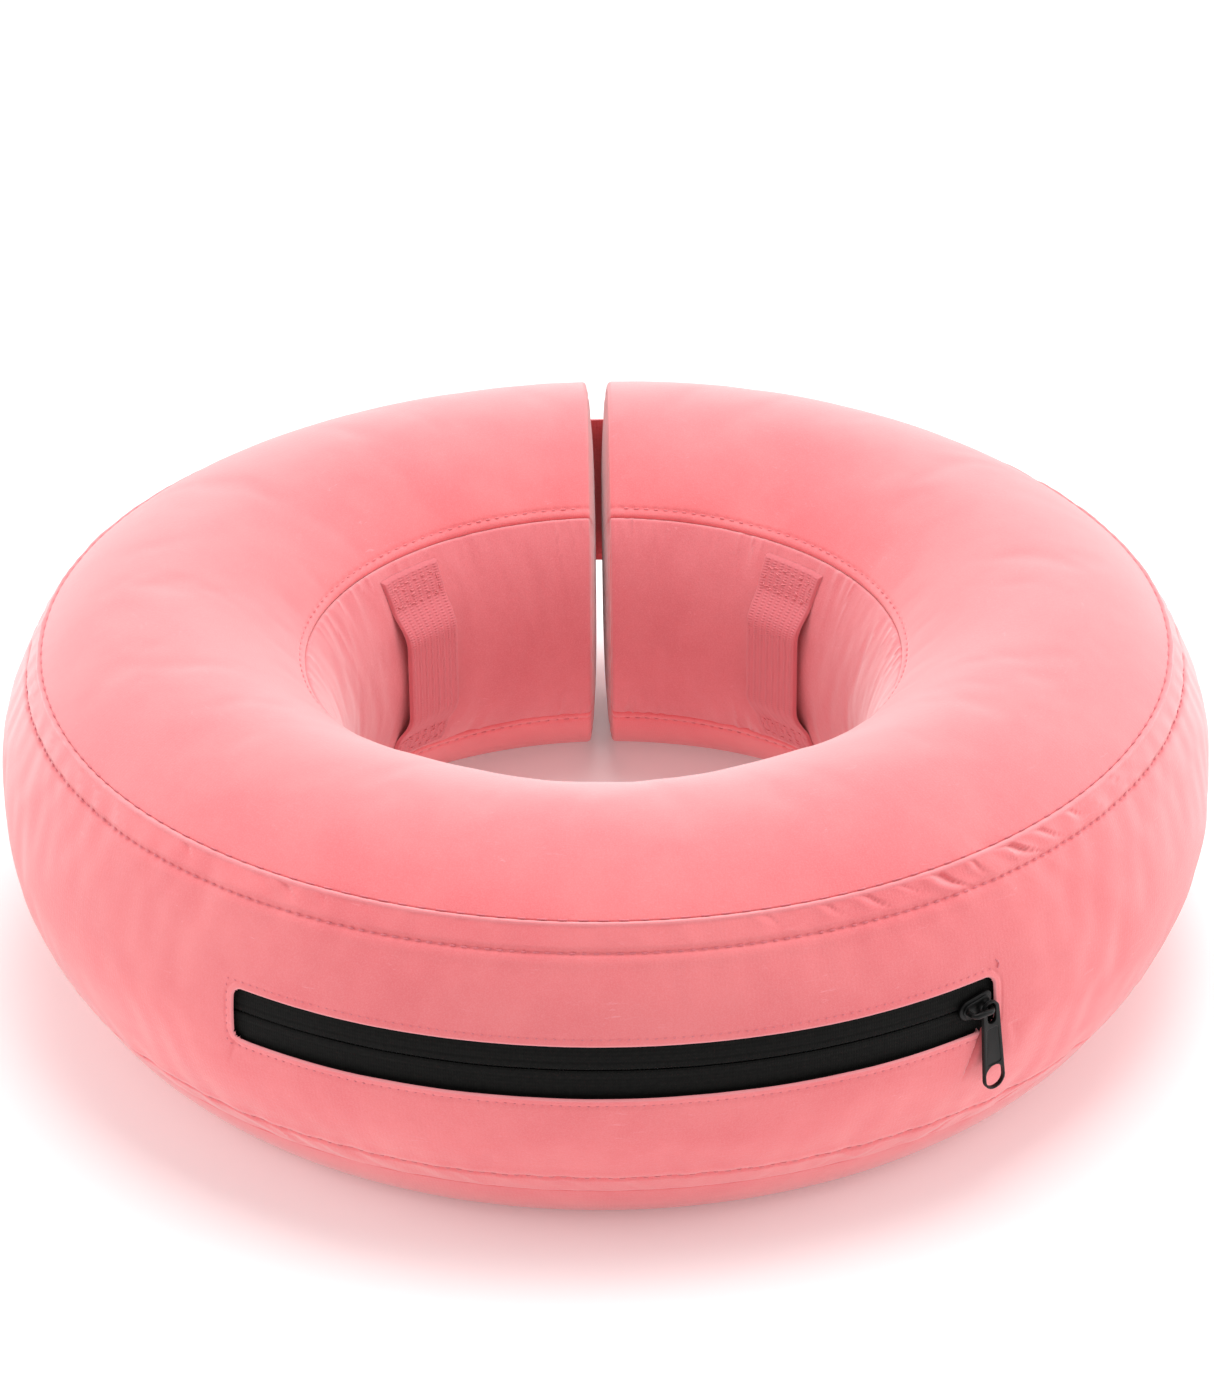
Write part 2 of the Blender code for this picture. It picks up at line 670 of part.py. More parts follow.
def make_slider():
    """Face plate, post, back plate and arch in one casting; its origin is the ring's own axis."""
    half_l = SLIDER_LENGTH / 2
    half_w = SLIDER_WIDTH / 2
    face = block(
        "zip_slider",
        (SLIDER_FACE_R - SLIDER_PLATE, -half_l, ZIP_Z - half_w),
        (SLIDER_FACE_R, half_l, ZIP_Z + half_w),
        0.0018,
    )
    slider = add_part("zip_slider", face, "zip_metal")
    inset = 0.0003
    post = block(
        "slider_post",
        (SLIDER_BACK_R - SLIDER_BACK_PLATE / 2, -0.0014, ZIP_Z - 0.00045),
        (SLIDER_FACE_R - SLIDER_PLATE / 2, 0.0014, ZIP_Z + 0.00045),
        0,
    )
    back = block(
        "slider_back",
        (SLIDER_BACK_R - SLIDER_BACK_PLATE, -half_l + inset, ZIP_Z - half_w + inset),
        (SLIDER_BACK_R, half_l - inset, ZIP_Z + half_w - inset),
        0.0018,
    )
    for name, mesh in (("slider_post", post), ("slider_back", back), ("slider_arch", slider_arch())):
        tool = add_tool(name, mesh)
        tool.rotation_euler = (0, 0, FRONT + SLIDER_ANGLE)
        boolean(slider, tool, "UNION")
    slider.rotation_euler = (0, 0, FRONT + SLIDER_ANGLE)
    return slider


def make_pull_tab(slider):
    """A flat tab with a long eye at the top and a round hole at the foot; its origin is in the eye."""
    foot = TAB_LENGTH - TAB_TOP_HALF + 0.0007 - TAB_FOOT_HALF
    crown = arc((0, -0.0007), (TAB_TOP_HALF, TAB_TOP_HALF), 0, math.pi, 8)
    base = arc((0, -foot), (TAB_FOOT_HALF, TAB_FOOT_HALF), math.pi, 2 * math.pi, 8)
    eye = arc((0, 0), (TAB_EYE_HALF, TAB_EYE_HALF), 0, math.pi, 6)
    eye += arc((0, -TAB_EYE_DROP), (TAB_EYE_HALF, TAB_EYE_HALF), math.pi, 2 * math.pi, 6)
    hole = arc((0, -foot), (TAB_HOLE_R, TAB_HOLE_R), 0, 2 * math.pi, 16)[:-1]
    curve = bpy.data.curves.new("pull_tab", "CURVE")
    curve.dimensions = "2D"
    curve.fill_mode = "BOTH"
    curve.extrude = TAB_THICK / 2
    for outline in (crown + base, eye, hole):
        line = curve.splines.new("POLY")
        line.points.add(len(outline) - 1)
        for point, (u, v) in zip(line.points, outline):
            point.co = (u, v, 0, 1)
        line.use_cyclic_u = True
    holder = bpy.data.objects.new("pull_tab", curve)
    PARTS.objects.link(holder)
    mesh = mesh_of_curve(holder)
    bpy.data.curves.remove(curve)
    tab = add_part("pull_tab", mesh, "zip_metal")
    upright = Matrix.Rotation(math.pi / 2, 4, "Z") @ Matrix.Rotation(math.pi / 2, 4, "X")
    lean = Matrix.Rotation(TAB_LEAN, 4, "X")
    place = Matrix.Translation((TAB_R, ARCH_SPREAD / 2, ZIP_Z))
    tab.parent = slider
    tab.matrix_local = place @ lean @ upright
    return tab


clear_scene()
PARTS = new_collection("inflatable_ring_collar")
TOOLS = new_collection("construction_tools")
MATERIALS = {name: new_material(name) for name in COLOURS}
BODIES = {"front": [], "left": [], "right": []}

FLEX = {
    "left": axis_empty("left_flex_axis", (-FLEX_R, 0, 0)),
    "right": axis_empty("right_flex_axis", (FLEX_R, 0, 0)),
}

make_cover()
make_bladder()
make_valve()
BODIES["left"].append(make_end_panel("end_panel_left", -1))
BODIES["right"].append(make_end_panel("end_panel_right", 1))
make_closure()
BODIES["front"].append(make_collar_loop("collar_loop_front_left", math.radians(-135)))
BODIES["front"].append(make_collar_loop("collar_loop_front_right", math.radians(-45)))
BODIES["left"].append(make_collar_loop("collar_loop_back_left", math.radians(135)))
BODIES["right"].append(make_collar_loop("collar_loop_back_right", math.radians(45)))
make_zip_tapes()
make_zip_coils()
make_zip_stops()
make_pull_tab(make_slider())

for section in ("left", "right"):
    for item in BODIES[section]:
        hang(item, FLEX[section])
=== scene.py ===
"""Looks for the inflatable ring collar: brushed microfibre cover, seams, stitching, zip and strap.

Every soft surface is laid out on one skin. A place on it is an azimuth (radians from the front,
positive towards +X) and a distance s along the tube's outline (metres from the upper neck seam, over
the crown, down the outer side, under the base and up the neck). relief() says how far the cloth
stands off the plain outline there, so panels, stitches and the zip opening always agree.
"""

import functools
import json
import math

import bmesh
import bpy
import numpy as np
from mathutils import Matrix, Vector


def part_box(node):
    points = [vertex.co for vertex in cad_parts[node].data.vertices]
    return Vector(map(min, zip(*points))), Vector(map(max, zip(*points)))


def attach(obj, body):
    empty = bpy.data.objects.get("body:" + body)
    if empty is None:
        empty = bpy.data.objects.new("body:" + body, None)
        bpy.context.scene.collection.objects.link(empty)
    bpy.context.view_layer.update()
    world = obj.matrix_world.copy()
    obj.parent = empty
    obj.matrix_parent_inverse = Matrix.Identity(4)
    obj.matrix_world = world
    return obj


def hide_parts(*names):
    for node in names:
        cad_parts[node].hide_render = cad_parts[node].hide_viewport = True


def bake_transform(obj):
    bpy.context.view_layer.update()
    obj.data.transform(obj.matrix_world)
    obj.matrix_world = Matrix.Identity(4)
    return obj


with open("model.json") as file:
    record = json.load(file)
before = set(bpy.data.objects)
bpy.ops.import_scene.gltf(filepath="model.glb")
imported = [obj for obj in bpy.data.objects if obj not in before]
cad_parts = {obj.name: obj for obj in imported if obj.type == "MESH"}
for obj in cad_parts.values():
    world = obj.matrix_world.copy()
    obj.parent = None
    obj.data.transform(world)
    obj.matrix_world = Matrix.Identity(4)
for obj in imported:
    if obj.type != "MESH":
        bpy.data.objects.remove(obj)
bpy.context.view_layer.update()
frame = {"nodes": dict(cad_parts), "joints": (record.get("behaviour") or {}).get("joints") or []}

MM = 0.001

# ---------------------------------------------------------------- the ring, read from the frame

OUTER_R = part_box("side_band_left")[0].x * -1
REST_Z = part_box("bottom_panel_front")[0].z
HALF_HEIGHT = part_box("top_panel_front")[1].z
JOINT_PLACES = {joint["name"]: joint["pos_m"] for joint in frame["joints"]}
FLEX_R = -JOINT_PLACES["left_arm_flex"][0]
CROWN_R = FLEX_R
NECK_R = 2 * CROWN_R - OUTER_R
BAND_CENTRE_R = 105 * MM
BAND_ARC = OUTER_R - BAND_CENTRE_R
SEAM_Z = 42 * MM
SEAM_R = BAND_CENTRE_R + math.sqrt(BAND_ARC**2 - SEAM_Z**2)
SHOULDER_Z = 2.7 * MM
NECK_SEAM_Z = 34 * MM
BASE_SHOULDER_Z = 25 * MM
BASE_DEPTH = 61 * MM
WELT = 8.3 * MM
CLOTH = 0.9 * MM
SPLIT_X = 3.2 * MM
FRONT_SPAN = math.radians(46)

# Zip opening, in the band
ZIP_Z = JOINT_PLACES["zip_travel"][2]
ZIP_HALF_HEIGHT = 7.8 * MM
ZIP_HALF_ANGLE = math.radians(35.2)
ZIP_CORNER = 2.8 * MM
ZIP_LIP = 0.55 * MM
ZIP_STITCH = 2.2 * MM

# Rows of thread: the pitch of their needle holes and the length that shows of each stitch
SEAM_STITCH = (5.3 * MM, 3.3 * MM)
TOPSTITCH = (3.1 * MM, 1.9 * MM)
BORDER_STITCH = (2.4 * MM, 1.0 * MM)
WEBBING_STITCH = (3.0 * MM, 2.0 * MM)
THREAD_R = 0.24 * MM


# ---------------------------------------------------------------- smooth seeded noise


def smooth_noise(u, v, cells, seed):
    """Noise between -1 and 1. u counts turns round the ring and repeats, v counts cells across."""
    rng = np.random.RandomState(seed)
    table = rng.uniform(-1, 1, (cells, 64))
    x = np.asarray(u, float) % 1.0 * cells
    y = np.asarray(v, float) % 64.0
    xi = np.floor(x).astype(int)
    yi = np.floor(y).astype(int)
    fx = x - xi
    fy = y - yi
    fx = fx * fx * fx * (fx * (6 * fx - 15) + 10)
    fy = fy * fy * fy * (fy * (6 * fy - 15) + 10)
    x0, x1 = xi % cells, (xi + 1) % cells
    y0, y1 = yi % 64, (yi + 1) % 64
    low = table[x0, y0] * (1 - fx) + table[x1, y0] * fx
    high = table[x0, y1] * (1 - fx) + table[x1, y1] * fx
    return low * (1 - fy) + high * fy


def smoothstep(x):
    x = np.clip(x, 0, 1)
    return x * x * (3 - 2 * x)


def bump(x, width):
    return np.exp(-((x / width) ** 2))


def polar(r, azimuth, z):
    """Points or directions at an azimuth from the front: r outwards and z up."""
    return np.stack(np.broadcast_arrays(r * np.sin(azimuth), -r * np.cos(azimuth), z), -1)


# ---------------------------------------------------------------- the tube's outline


def outline_points():
    """The closed outline as (r, z) samples, from the upper neck seam round to itself."""
    neck = (CROWN_R - NECK_R, HALF_HEIGHT)
    seam_angle = math.asin(NECK_SEAM_Z / HALF_HEIGHT)
    shoulder = math.hypot(SEAM_R - CROWN_R, SEAM_Z - SHOULDER_Z)
    shoulder_end = math.atan2(SEAM_Z - SHOULDER_Z, SEAM_R - CROWN_R)
    band_end = math.asin(SEAM_Z / BAND_ARC)

    def sweep(centre, radii, start, end, count):
        angles = np.linspace(start, end, count)
        return np.stack([centre[0] + radii[0] * np.cos(angles), centre[1] + radii[1] * np.sin(angles)], 1)

    top_neck = sweep((CROWN_R, 0), neck, math.pi - seam_angle, math.pi / 2, 400)
    top_out = sweep((CROWN_R, SHOULDER_Z), (shoulder, shoulder), math.pi / 2, shoulder_end, 300)
    band = sweep((BAND_CENTRE_R, 0), (BAND_ARC, BAND_ARC), band_end, -band_end, 500)
    lining = sweep((CROWN_R, 0), neck, math.pi + seam_angle, math.pi - seam_angle, 400)
    top = np.concatenate([top_neck, top_out[1:]])
    base = math.hypot(SEAM_R - CROWN_R, SEAM_Z - BASE_SHOULDER_Z)
    base_start = math.atan2(SEAM_Z - BASE_SHOULDER_Z, SEAM_R - CROWN_R)
    low_angle = math.asin(NECK_SEAM_Z / BASE_DEPTH)
    low_neck = (neck[0] * math.cos(seam_angle) / math.cos(low_angle), BASE_DEPTH)
    flat = -REST_Z + 0.9 * MM
    base_end = math.asin((flat - BASE_SHOULDER_Z) / base)
    outer = sweep((CROWN_R, -BASE_SHOULDER_Z), (base, base), -base_start, -base_end, 300)
    inner = sweep((CROWN_R, 0), low_neck, math.asin(flat / BASE_DEPTH) - math.pi, low_angle - math.pi, 400)
    under = np.linspace(outer[-1], inner[0], 80)
    bottom = np.concatenate([outer, under[1:-1], inner])
    lift = -REST_Z - np.abs(bottom[:, 1])
    ease = 0.5 * (lift + np.sqrt(lift**2 + (0.7 * MM) ** 2))
    bottom[:, 1] = REST_Z + ease
    parts = [top, band[1:], bottom[1:], lining[1:]]
    return np.concatenate(parts), np.cumsum([len(p) for p in parts]) - 1


class Outline:
    """Looks up the outline's point and outward normal by distance along it."""

    def __init__(self):
        points, ends = outline_points()
        steps = np.linalg.norm(np.diff(points, axis=0), axis=1)
        self.s = np.concatenate([[0], np.cumsum(steps)])
        self.points = points
        tangent = np.gradient(points, self.s, axis=0)
        kernel = np.ones(9) / 9
        padded = np.pad(tangent, ((4, 4), (0, 0)), mode="edge")
        tangent = np.stack([np.convolve(padded[:, i], kernel, "valid") for i in range(2)], 1)
        tangent /= np.linalg.norm(tangent, axis=1)[:, None]
        self.normals = np.stack([-tangent[:, 1], tangent[:, 0]], 1)
        self.marks = (0.0, *self.s[ends])
        self.seam_top, self.seam_low, self.neck_low, self.length = self.marks[1:]

    def at(self, s):
        s = np.clip(s, 0, self.length)
        point = [np.interp(s, self.s, self.points[:, i]) for i in range(2)]
        normal = [np.interp(s, self.s, self.normals[:, i]) for i in range(2)]
        return point[0], point[1], normal[0], normal[1]

    def outward(self, azimuth, s):
        normal = self.at(s)[2:]
        return polar(normal[0], azimuth, normal[1])


OUTLINE = Outline()
ZIP_S = OUTLINE.seam_top + BAND_ARC * (math.asin(SEAM_Z / BAND_ARC) - math.asin(ZIP_Z / BAND_ARC))
BAND_MIDDLE_S = OUTLINE.seam_top + (OUTLINE.seam_low - OUTLINE.seam_top) / 2


def zip_distance(azimuth, s):
    """Signed distance from the zip opening's rounded outline, negative inside it."""
    x = np.abs(azimuth) * OUTER_R - (ZIP_HALF_ANGLE * OUTER_R - ZIP_CORNER)
    y = np.abs(s - ZIP_S) - (ZIP_HALF_HEIGHT - ZIP_CORNER)
    outside = np.hypot(np.maximum(x, 0), np.maximum(y, 0))
    return outside + np.minimum(np.maximum(x, y), 0) - ZIP_CORNER


# ---------------------------------------------------------------- how the cloth stands


def edge_roll(x, radius):
    """A folded edge turning down into its seam: 0 beyond radius, -radius at the seam line."""
    t = np.clip(1 - x / radius, 0, 1)
    return -radius * (1 - np.sqrt(np.maximum(1 - t * t, 0)))


def stitch_pull(azimuth, radius, row):
    """1 at a needle hole and 0 halfway along a stitch."""
    holes = round(2 * math.pi * radius / row[0])
    return 0.5 + 0.5 * np.cos(azimuth * holes)


def puckers(azimuth, away, spacing, lean, seed):
    """Small folds across a seam, away metres from it, leaning along it."""
    turns = azimuth / (2 * math.pi)
    around = 2 * math.pi * SEAM_R
    cells = int(around / spacing)
    u = turns + lean * away / around
    coarse = smooth_noise(u, 0.3 + away / (30 * MM), cells, seed)
    fine = smooth_noise(u, 7.7 + away / (20 * MM), int(cells * 1.9), seed + 1)
    folds = 1 - 2.4 * np.abs(0.8 * coarse + 0.3 * fine)
    patch = 0.55 + 0.65 * smooth_noise(turns, 3.1, 29, seed + 2)
    return folds * np.clip(patch, 0, 1)


def tension(azimuth):
    """Where the welt is gathered most: near the zip's closed end, and a little at the other side."""
    right = bump(azimuth - math.radians(34), math.radians(12))
    left = bump(azimuth + math.radians(31), math.radians(9))
    return 0.30 + 0.5 * right + 0.35 * left


def swell(azimuth, s):
    """How far the filled tube pushes the cloth off the plain outline."""
    turns = azimuth / (2 * math.pi)
    slow = 0.35 * MM * smooth_noise(turns, s / (95 * MM), 9, 11)
    if INFLATED is None:
        return slow + 0.28 * MM * smooth_noise(turns, s / (38 * MM), 24, 12)
    return slow + SIM_SHARE * INFLATED(azimuth, s)


def band_swell(azimuth, s):
    """The side band's share of it, calmed where the zip's tapes hold the cloth flat."""
    calm = bump(np.maximum(zip_distance(azimuth, s), 0), 14 * MM)
    return swell(azimuth, s) * (1 - 0.8 * calm)


def topstitch_relief(x, azimuth, radius, welt_side):
    """The groove a topstitch row pulls; x is the distance past it, away from the seam."""
    pull = 0.55 + 0.45 * stitch_pull(azimuth, radius, TOPSTITCH)
    groove = -0.60 * MM * pull * bump(x, 0.75 * MM)
    beyond = 0.20 * MM * bump(x - 2.4 * MM, 1.6 * MM)
    return groove + beyond * welt_side


# Folds that lie across the gathered welt: azimuth in degrees, depth and half width in mm, and lean
GATHERS = (
    (-43.0, 0.30, 1.1, 0.7),
    (-31.0, 0.50, 1.3, 0.8),
    (-27.2, 0.30, 1.0, 0.5),
    (14.5, 0.25, 1.1, 0.8),
    (20.3, 0.40, 1.1, 0.7),
    (24.4, 0.65, 1.3, 0.9),
    (28.3, 0.30, 0.9, 1.3),
    (32.2, 1.20, 1.7, 0.8),
    (35.8, 0.55, 0.8, 0.3),
    (40.9, 1.30, 1.7, 1.2),
    (44.9, 0.75, 1.4, 1.0),
    (49.5, 0.50, 1.2, 0.8),
    (57.0, 0.30, 1.2, 0.8),
)


def gathers(azimuth, x):
    """The gathered welt's folds: each leaves the ridge and curls along the seam towards the topstitch."""
    down = x - 3 * MM
    total = 0
    for degrees, depth, width, lean in GATHERS:
        length = (0.45 + 0.3 * min(depth, 1.2)) * WELT
        end = smoothstep((x - 0.55 * length) / (0.75 * length))
        reach = smoothstep((x - 0.9 * MM) / (1.1 * MM)) * (1 - end)
        turned = (azimuth - math.radians(degrees)) * SEAM_R - lean * down - 0.13 * down * np.abs(down) / MM
        valley = np.where(turned > 0, bump(turned, 0.55 * width * MM), bump(turned, 1.3 * width * MM))
        pushed = 0.45 * bump(turned + 2.7 * width * MM, 1.4 * width * MM)
        total = total + depth * MM * reach * (pushed - valley)
    return total


def welt_relief(x, azimuth, seed, sign):
    """The band's welt: a crisp folded ridge at the seam, a raised strip, and its topstitch row."""
    rise = smoothstep(x / (0.6 * MM)) * (1 - smoothstep((x - WELT + 1.6 * MM) / (1.6 * MM)))
    strip = 0.42 * MM * rise
    wander = 1 + 0.45 * smooth_noise(azimuth / (2 * math.pi), 5.2, 310, seed + 9)
    ridge = 0.34 * MM * wander * bump(x - 0.75 * MM, 0.5 * MM)
    stitched = topstitch_relief(x - WELT, azimuth, SEAM_R + 4 * MM, 1)
    fade = np.exp(-np.maximum(x - WELT, 0) / (7 * MM))
    belly = 0.35 + 0.65 * np.sin(np.clip(x / WELT, 0, 1) * math.pi)
    across = np.where(x < WELT, belly, 0.35 * fade)
    folds = 0.8 * MM * tension(azimuth) * across * puckers(azimuth, x, 10 * MM, -0.9 * sign, seed)
    share = 1.0 if sign > 0 else 0.2
    return stitched + folds + share * (strip + ridge + gathers(azimuth, x))


def zip_relief(azimuth, s):
    """The turned lip round the zip opening and its stitched border."""
    d = zip_distance(azimuth, s)
    lip = edge_roll(d, ZIP_LIP)
    roll = 0.08 * MM * bump(d - 0.6 * MM, 0.4 * MM)
    along = 0.5 + 0.5 * np.cos(azimuth * OUTER_R / BORDER_STITCH[0] * 2 * math.pi)
    groove = -0.26 * MM * (0.6 + 0.4 * along) * bump(d - ZIP_STITCH, 0.5 * MM)
    sunk = -0.5 * MM * bump(d, 9 * MM) * smoothstep(1 - np.abs(np.abs(azimuth) - ZIP_HALF_ANGLE) / 0.25)
    return np.where(d > -1 * MM, lip + roll + groove + sunk, 0)


# Creases below the zip's ends: azimuth and drop where each starts and ends, depth, crisp and soft widths
DRAGS = (
    ((33.8, 0.0), (32.1, 15.5), 2.3, 0.30, 2.9),
    ((37.4, 2.0), (38.6, 14.0), 0.35, 1.2, 3.0),
    ((-35.0, 0.5), (-36.4, 13.0), 0.35, 0.9, 2.6),
)


def drag_lines(azimuth, s):
    """Creases from the zip's ends down the band, the deepest where the slider's weight hangs."""
    total = 0
    for start, end, depth, crisp, soft in DRAGS:
        top = ZIP_S + ZIP_HALF_HEIGHT + start[1] * MM
        low = ZIP_S + ZIP_HALF_HEIGHT + end[1] * MM
        t = (s - top) / (low - top)
        narrow = np.clip(1.1 - t, 0.12, 1.2)
        centre = np.radians(start[0] + (end[0] - start[0]) * np.clip(t, -0.2, 1.2))
        x = (azimuth - centre) * OUTER_R
        shape = np.where(x < 0, bump(x, crisp * MM), bump(x, soft * MM * narrow))
        fade = smoothstep((t + 0.12) / 0.12) * (1 - smoothstep((t - 0.1) / 0.95))
        total = total - depth * MM * shape * fade
    return total


def flat_panel(azimuth, from_band, from_neck, roll, seed):
    """A top or bottom panel: rolled edges, small folds at the band and a topstitch row by the neck."""
    gathered = tension(azimuth) * np.exp(-from_band / (6 * MM))
    folds = 0.30 * MM * gathered * puckers(azimuth, from_band, 9 * MM, 0.4, seed)
    row = 0.6 * topstitch_relief(from_neck - 3 * MM, azimuth, NECK_R, 0)
    return edge_roll(from_band, roll) + edge_roll(from_neck, 1.5 * MM) + folds + row


def relief(panel, azimuth, s):
    """How far the cloth's outer face stands off the plain outline, in metres."""
    o = OUTLINE
    if panel == "top_panel":
        return swell(azimuth, s) + flat_panel(azimuth, o.seam_top - s, s, 0.55 * MM, 41)
    if panel == "bottom_panel":
        return 0.4 * swell(azimuth, s) + flat_panel(azimuth, s - o.seam_low, o.neck_low - s, 0.4 * MM, 51)
    if panel == "side_band":
        x = s - o.seam_top
        y = o.seam_low - s
        welts = np.where(x < y, welt_relief(x, azimuth, 61, 1), welt_relief(y, azimuth, 81, -1))
        rolls = edge_roll(x, 0.3 * MM) + edge_roll(y, 0.3 * MM)
        return band_swell(azimuth, s) + rolls + welts + zip_relief(azimuth, s) + drag_lines(azimuth, s)
    near = np.minimum(s - o.neck_low, o.length - s)
    folds = 0.5 * MM * np.exp(-near / (9 * MM)) * puckers(azimuth, near, 8 * MM, 0.2, 71)
    return 0.6 * swell(azimuth, s) + edge_roll(near, 1.0 * MM) + folds


def split_shift(azimuth, radius, half_gap=SPLIT_X):
    """Azimuth moved so that the outermost columns end on flat planes at the back split."""
    start = math.radians(150)
    share = smoothstep((np.abs(azimuth) - start) / (math.pi - start))
    return azimuth - np.sign(azimuth) * np.arcsin(half_gap / radius) * share


def split_roll(azimuth, radius):
    """The cloth turns in where it meets the end panels."""
    distance = (math.pi - np.abs(azimuth)) * radius
    return edge_roll(distance, 1.6 * MM) * 0.9


def skin(panel, azimuth, s, lift=0.0):
    """Points in the row frame, lift metres above the cloth's outer face."""
    r, z, nr, nz = OUTLINE.at(s)
    stand = relief(panel, azimuth, s) + split_roll(azimuth, r) + lift
    r = r + nr * stand
    return polar(r, split_shift(azimuth, r), z + nz * stand)


def stand_off(azimuth, s, lift):
    """Points lift metres off the plain outline."""
    r, z, nr, nz = OUTLINE.at(s)
    return polar(r + nr * lift, azimuth, z + nz * lift)


class Surface:
    """A callable surface of two parameters, with normals by small differences."""

    def __init__(self, points, outward, steps):
        self.points = points
        self.outward = outward
        self.steps = steps

    def __call__(self, a, b):
        return self.points(a, b)

    def normals(self, a, b):
        ha, hb = self.steps
        ta = self.points(a + ha, b) - self.points(a - ha, b)
        tb = self.points(a, b + hb) - self.points(a, b - hb)
        return unit_normals(ta, tb, self.outward(a, b))


def unit(vectors):
    """The vectors made one long."""
    return vectors / np.maximum(np.linalg.norm(vectors, axis=-1), 1e-15)[..., None]


def unit_normals(along, down, outward):
    """Unit vectors square to along and down, on the side that outward points to."""
    n = unit(np.cross(along, down))
    return n * np.where((n * outward).sum(-1) < 0, -1.0, 1.0)[..., None]


# Half the step between the points that a normal is worked out from
SMALL = 0.05 * MM


def panel_surface(panel):
    return Surface(lambda a, b: skin(panel, a, b), OUTLINE.outward, (SMALL / OUTER_R, SMALL))


# ---------------------------------------------------------------- mesh building


def graded(low, high, features, coarse, fine, reach):
    """Values from low to high, fine near each feature and coarse away from them, features included."""
    marks = sorted({low, high, *[f for f in features if low < f < high]})
    spots = np.array([f for f in features if low <= f <= high] or [1e9])
    values = []
    for a, b in zip(marks, marks[1:]):
        x = a
        line = [a]
        while x < b:
            near = np.abs(spots - x).min()
            x += fine + (coarse - fine) * min(1.0, near / reach)
            line.append(x)
        line = np.array(line)
        line = a + (line - a) * (b - a) / (line[-1] - a)
        values.extend(line[:-1])
    values.append(high)
    return np.array(values)


def numbered(rows, columns):
    """The point numbers of a grid, laid out as the grid is."""
    return np.arange(rows * columns).reshape(rows, columns)


def grid_faces(index):
    """Quads between neighbours in a grid of point numbers."""
    return np.stack([index[:-1, :-1], index[:-1, 1:], index[1:, 1:], index[1:, :-1]], -1).reshape(-1, 4)


def closed_faces(rows, columns, down=0, across=0):
    """Quads of a grid whose last row joins its first (down=1), or its last column (across=1)."""
    return grid_faces(np.pad(numbered(rows, columns), ((0, down), (0, across)), mode="wrap"))


def turned_out(points, faces, normals):
    """Whether the faces wind towards their points' normals."""
    first, second = points[faces[:, 2]] - points[faces[:, 0]], points[faces[:, 3]] - points[faces[:, 1]]
    return (np.cross(first, second) * normals[faces[:, 0]]).sum() >= 0


def linked(name, data):
    """A new object of some data, in the scene."""
    made = bpy.data.objects.new(name, data)
    bpy.context.scene.collection.objects.link(made)
    return made


def mesh_object(name, points, faces, material, uv=None, normals=None):
    """A smooth mesh object from numpy arrays, with faces of one size."""
    mesh = bpy.data.meshes.new(name)
    corners = faces.shape[1]
    mesh.vertices.add(len(points))
    mesh.vertices.foreach_set("co", np.asarray(points, np.float32).ravel())
    mesh.loops.add(faces.size)
    mesh.loops.foreach_set("vertex_index", faces.astype(np.int32).ravel())
    mesh.polygons.add(len(faces))
    mesh.polygons.foreach_set("loop_start", np.arange(0, faces.size, corners, dtype=np.int32))
    mesh.update(calc_edges=True)
    if uv is not None:
        layer = mesh.uv_layers.new(name="cloth")
        layer.data.foreach_set("uv", np.asarray(uv, np.float32)[faces.ravel()].ravel())
    mesh.polygons.foreach_set("use_smooth", np.ones(len(faces), bool))
    mesh.validate()
    if normals is not None:
        mesh.normals_split_custom_set_from_vertices(np.asarray(normals, np.float32))
    if material is not None:
        mesh.materials.append(material)
    return linked(name, mesh)


def shell(name, points, normals, faces, thickness, material, uv):
    """A closed sheet: the outer face, an inner face thickness below it, and rims between them."""
    used, index = np.unique(faces, return_inverse=True)
    faces = index.reshape(faces.shape)
    points, normals, uv = points[used], normals[used], uv[used]
    if np.ndim(thickness):
        thickness = thickness[used][:, None]
    count = len(points)
    if not turned_out(points, faces, normals):
        faces = faces[:, ::-1]
    ends = np.concatenate([faces[:, [i, (i + 1) % 4]] for i in range(4)])
    keys = np.sort(ends, axis=1)
    _, first, times = np.unique(keys, axis=0, return_index=True, return_counts=True)
    rim = ends[first[times == 1]]
    rims = np.stack([rim[:, 1], rim[:, 0], rim[:, 0] + count, rim[:, 1] + count], 1)
    inner = faces[:, ::-1] + count
    faces = np.concatenate([faces, inner, rims])
    points = np.concatenate([points, points - normals * thickness])
    normals = np.concatenate([normals, -normals])
    return mesh_object(name, points, faces, material, np.tile(uv, (2, 1)), normals)


def grid_normals(grid, outward):
    """Unit normals of a (rows, columns, 3) grid of points, on the side that outward points to."""
    return unit_normals(np.gradient(grid, axis=1), np.gradient(grid, axis=0), outward)


def rounded_edge(distance, radius):
    """1 away from an edge, falling in a quarter circle to 0 at it."""
    t = np.clip(1 - distance / radius, 0, 1)
    return np.sqrt(np.maximum(1 - t * t, 0))


def bend_with(piece, section):
    """Rides the front section; a piece of any other section only has its placement baked into its points."""
    if section == "front":
        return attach(piece, "front_section")
    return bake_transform(piece)


def stand_for(piece, node, body):
    """Rides a piece on a body and shows it in place of a CAD node."""
    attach(piece, body)
    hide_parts(node)


# How far below the skin the rows of a panel's tucked edges lie
TUCK = np.array([0.9, 1.9, 2.9])[:, None, None] * MM


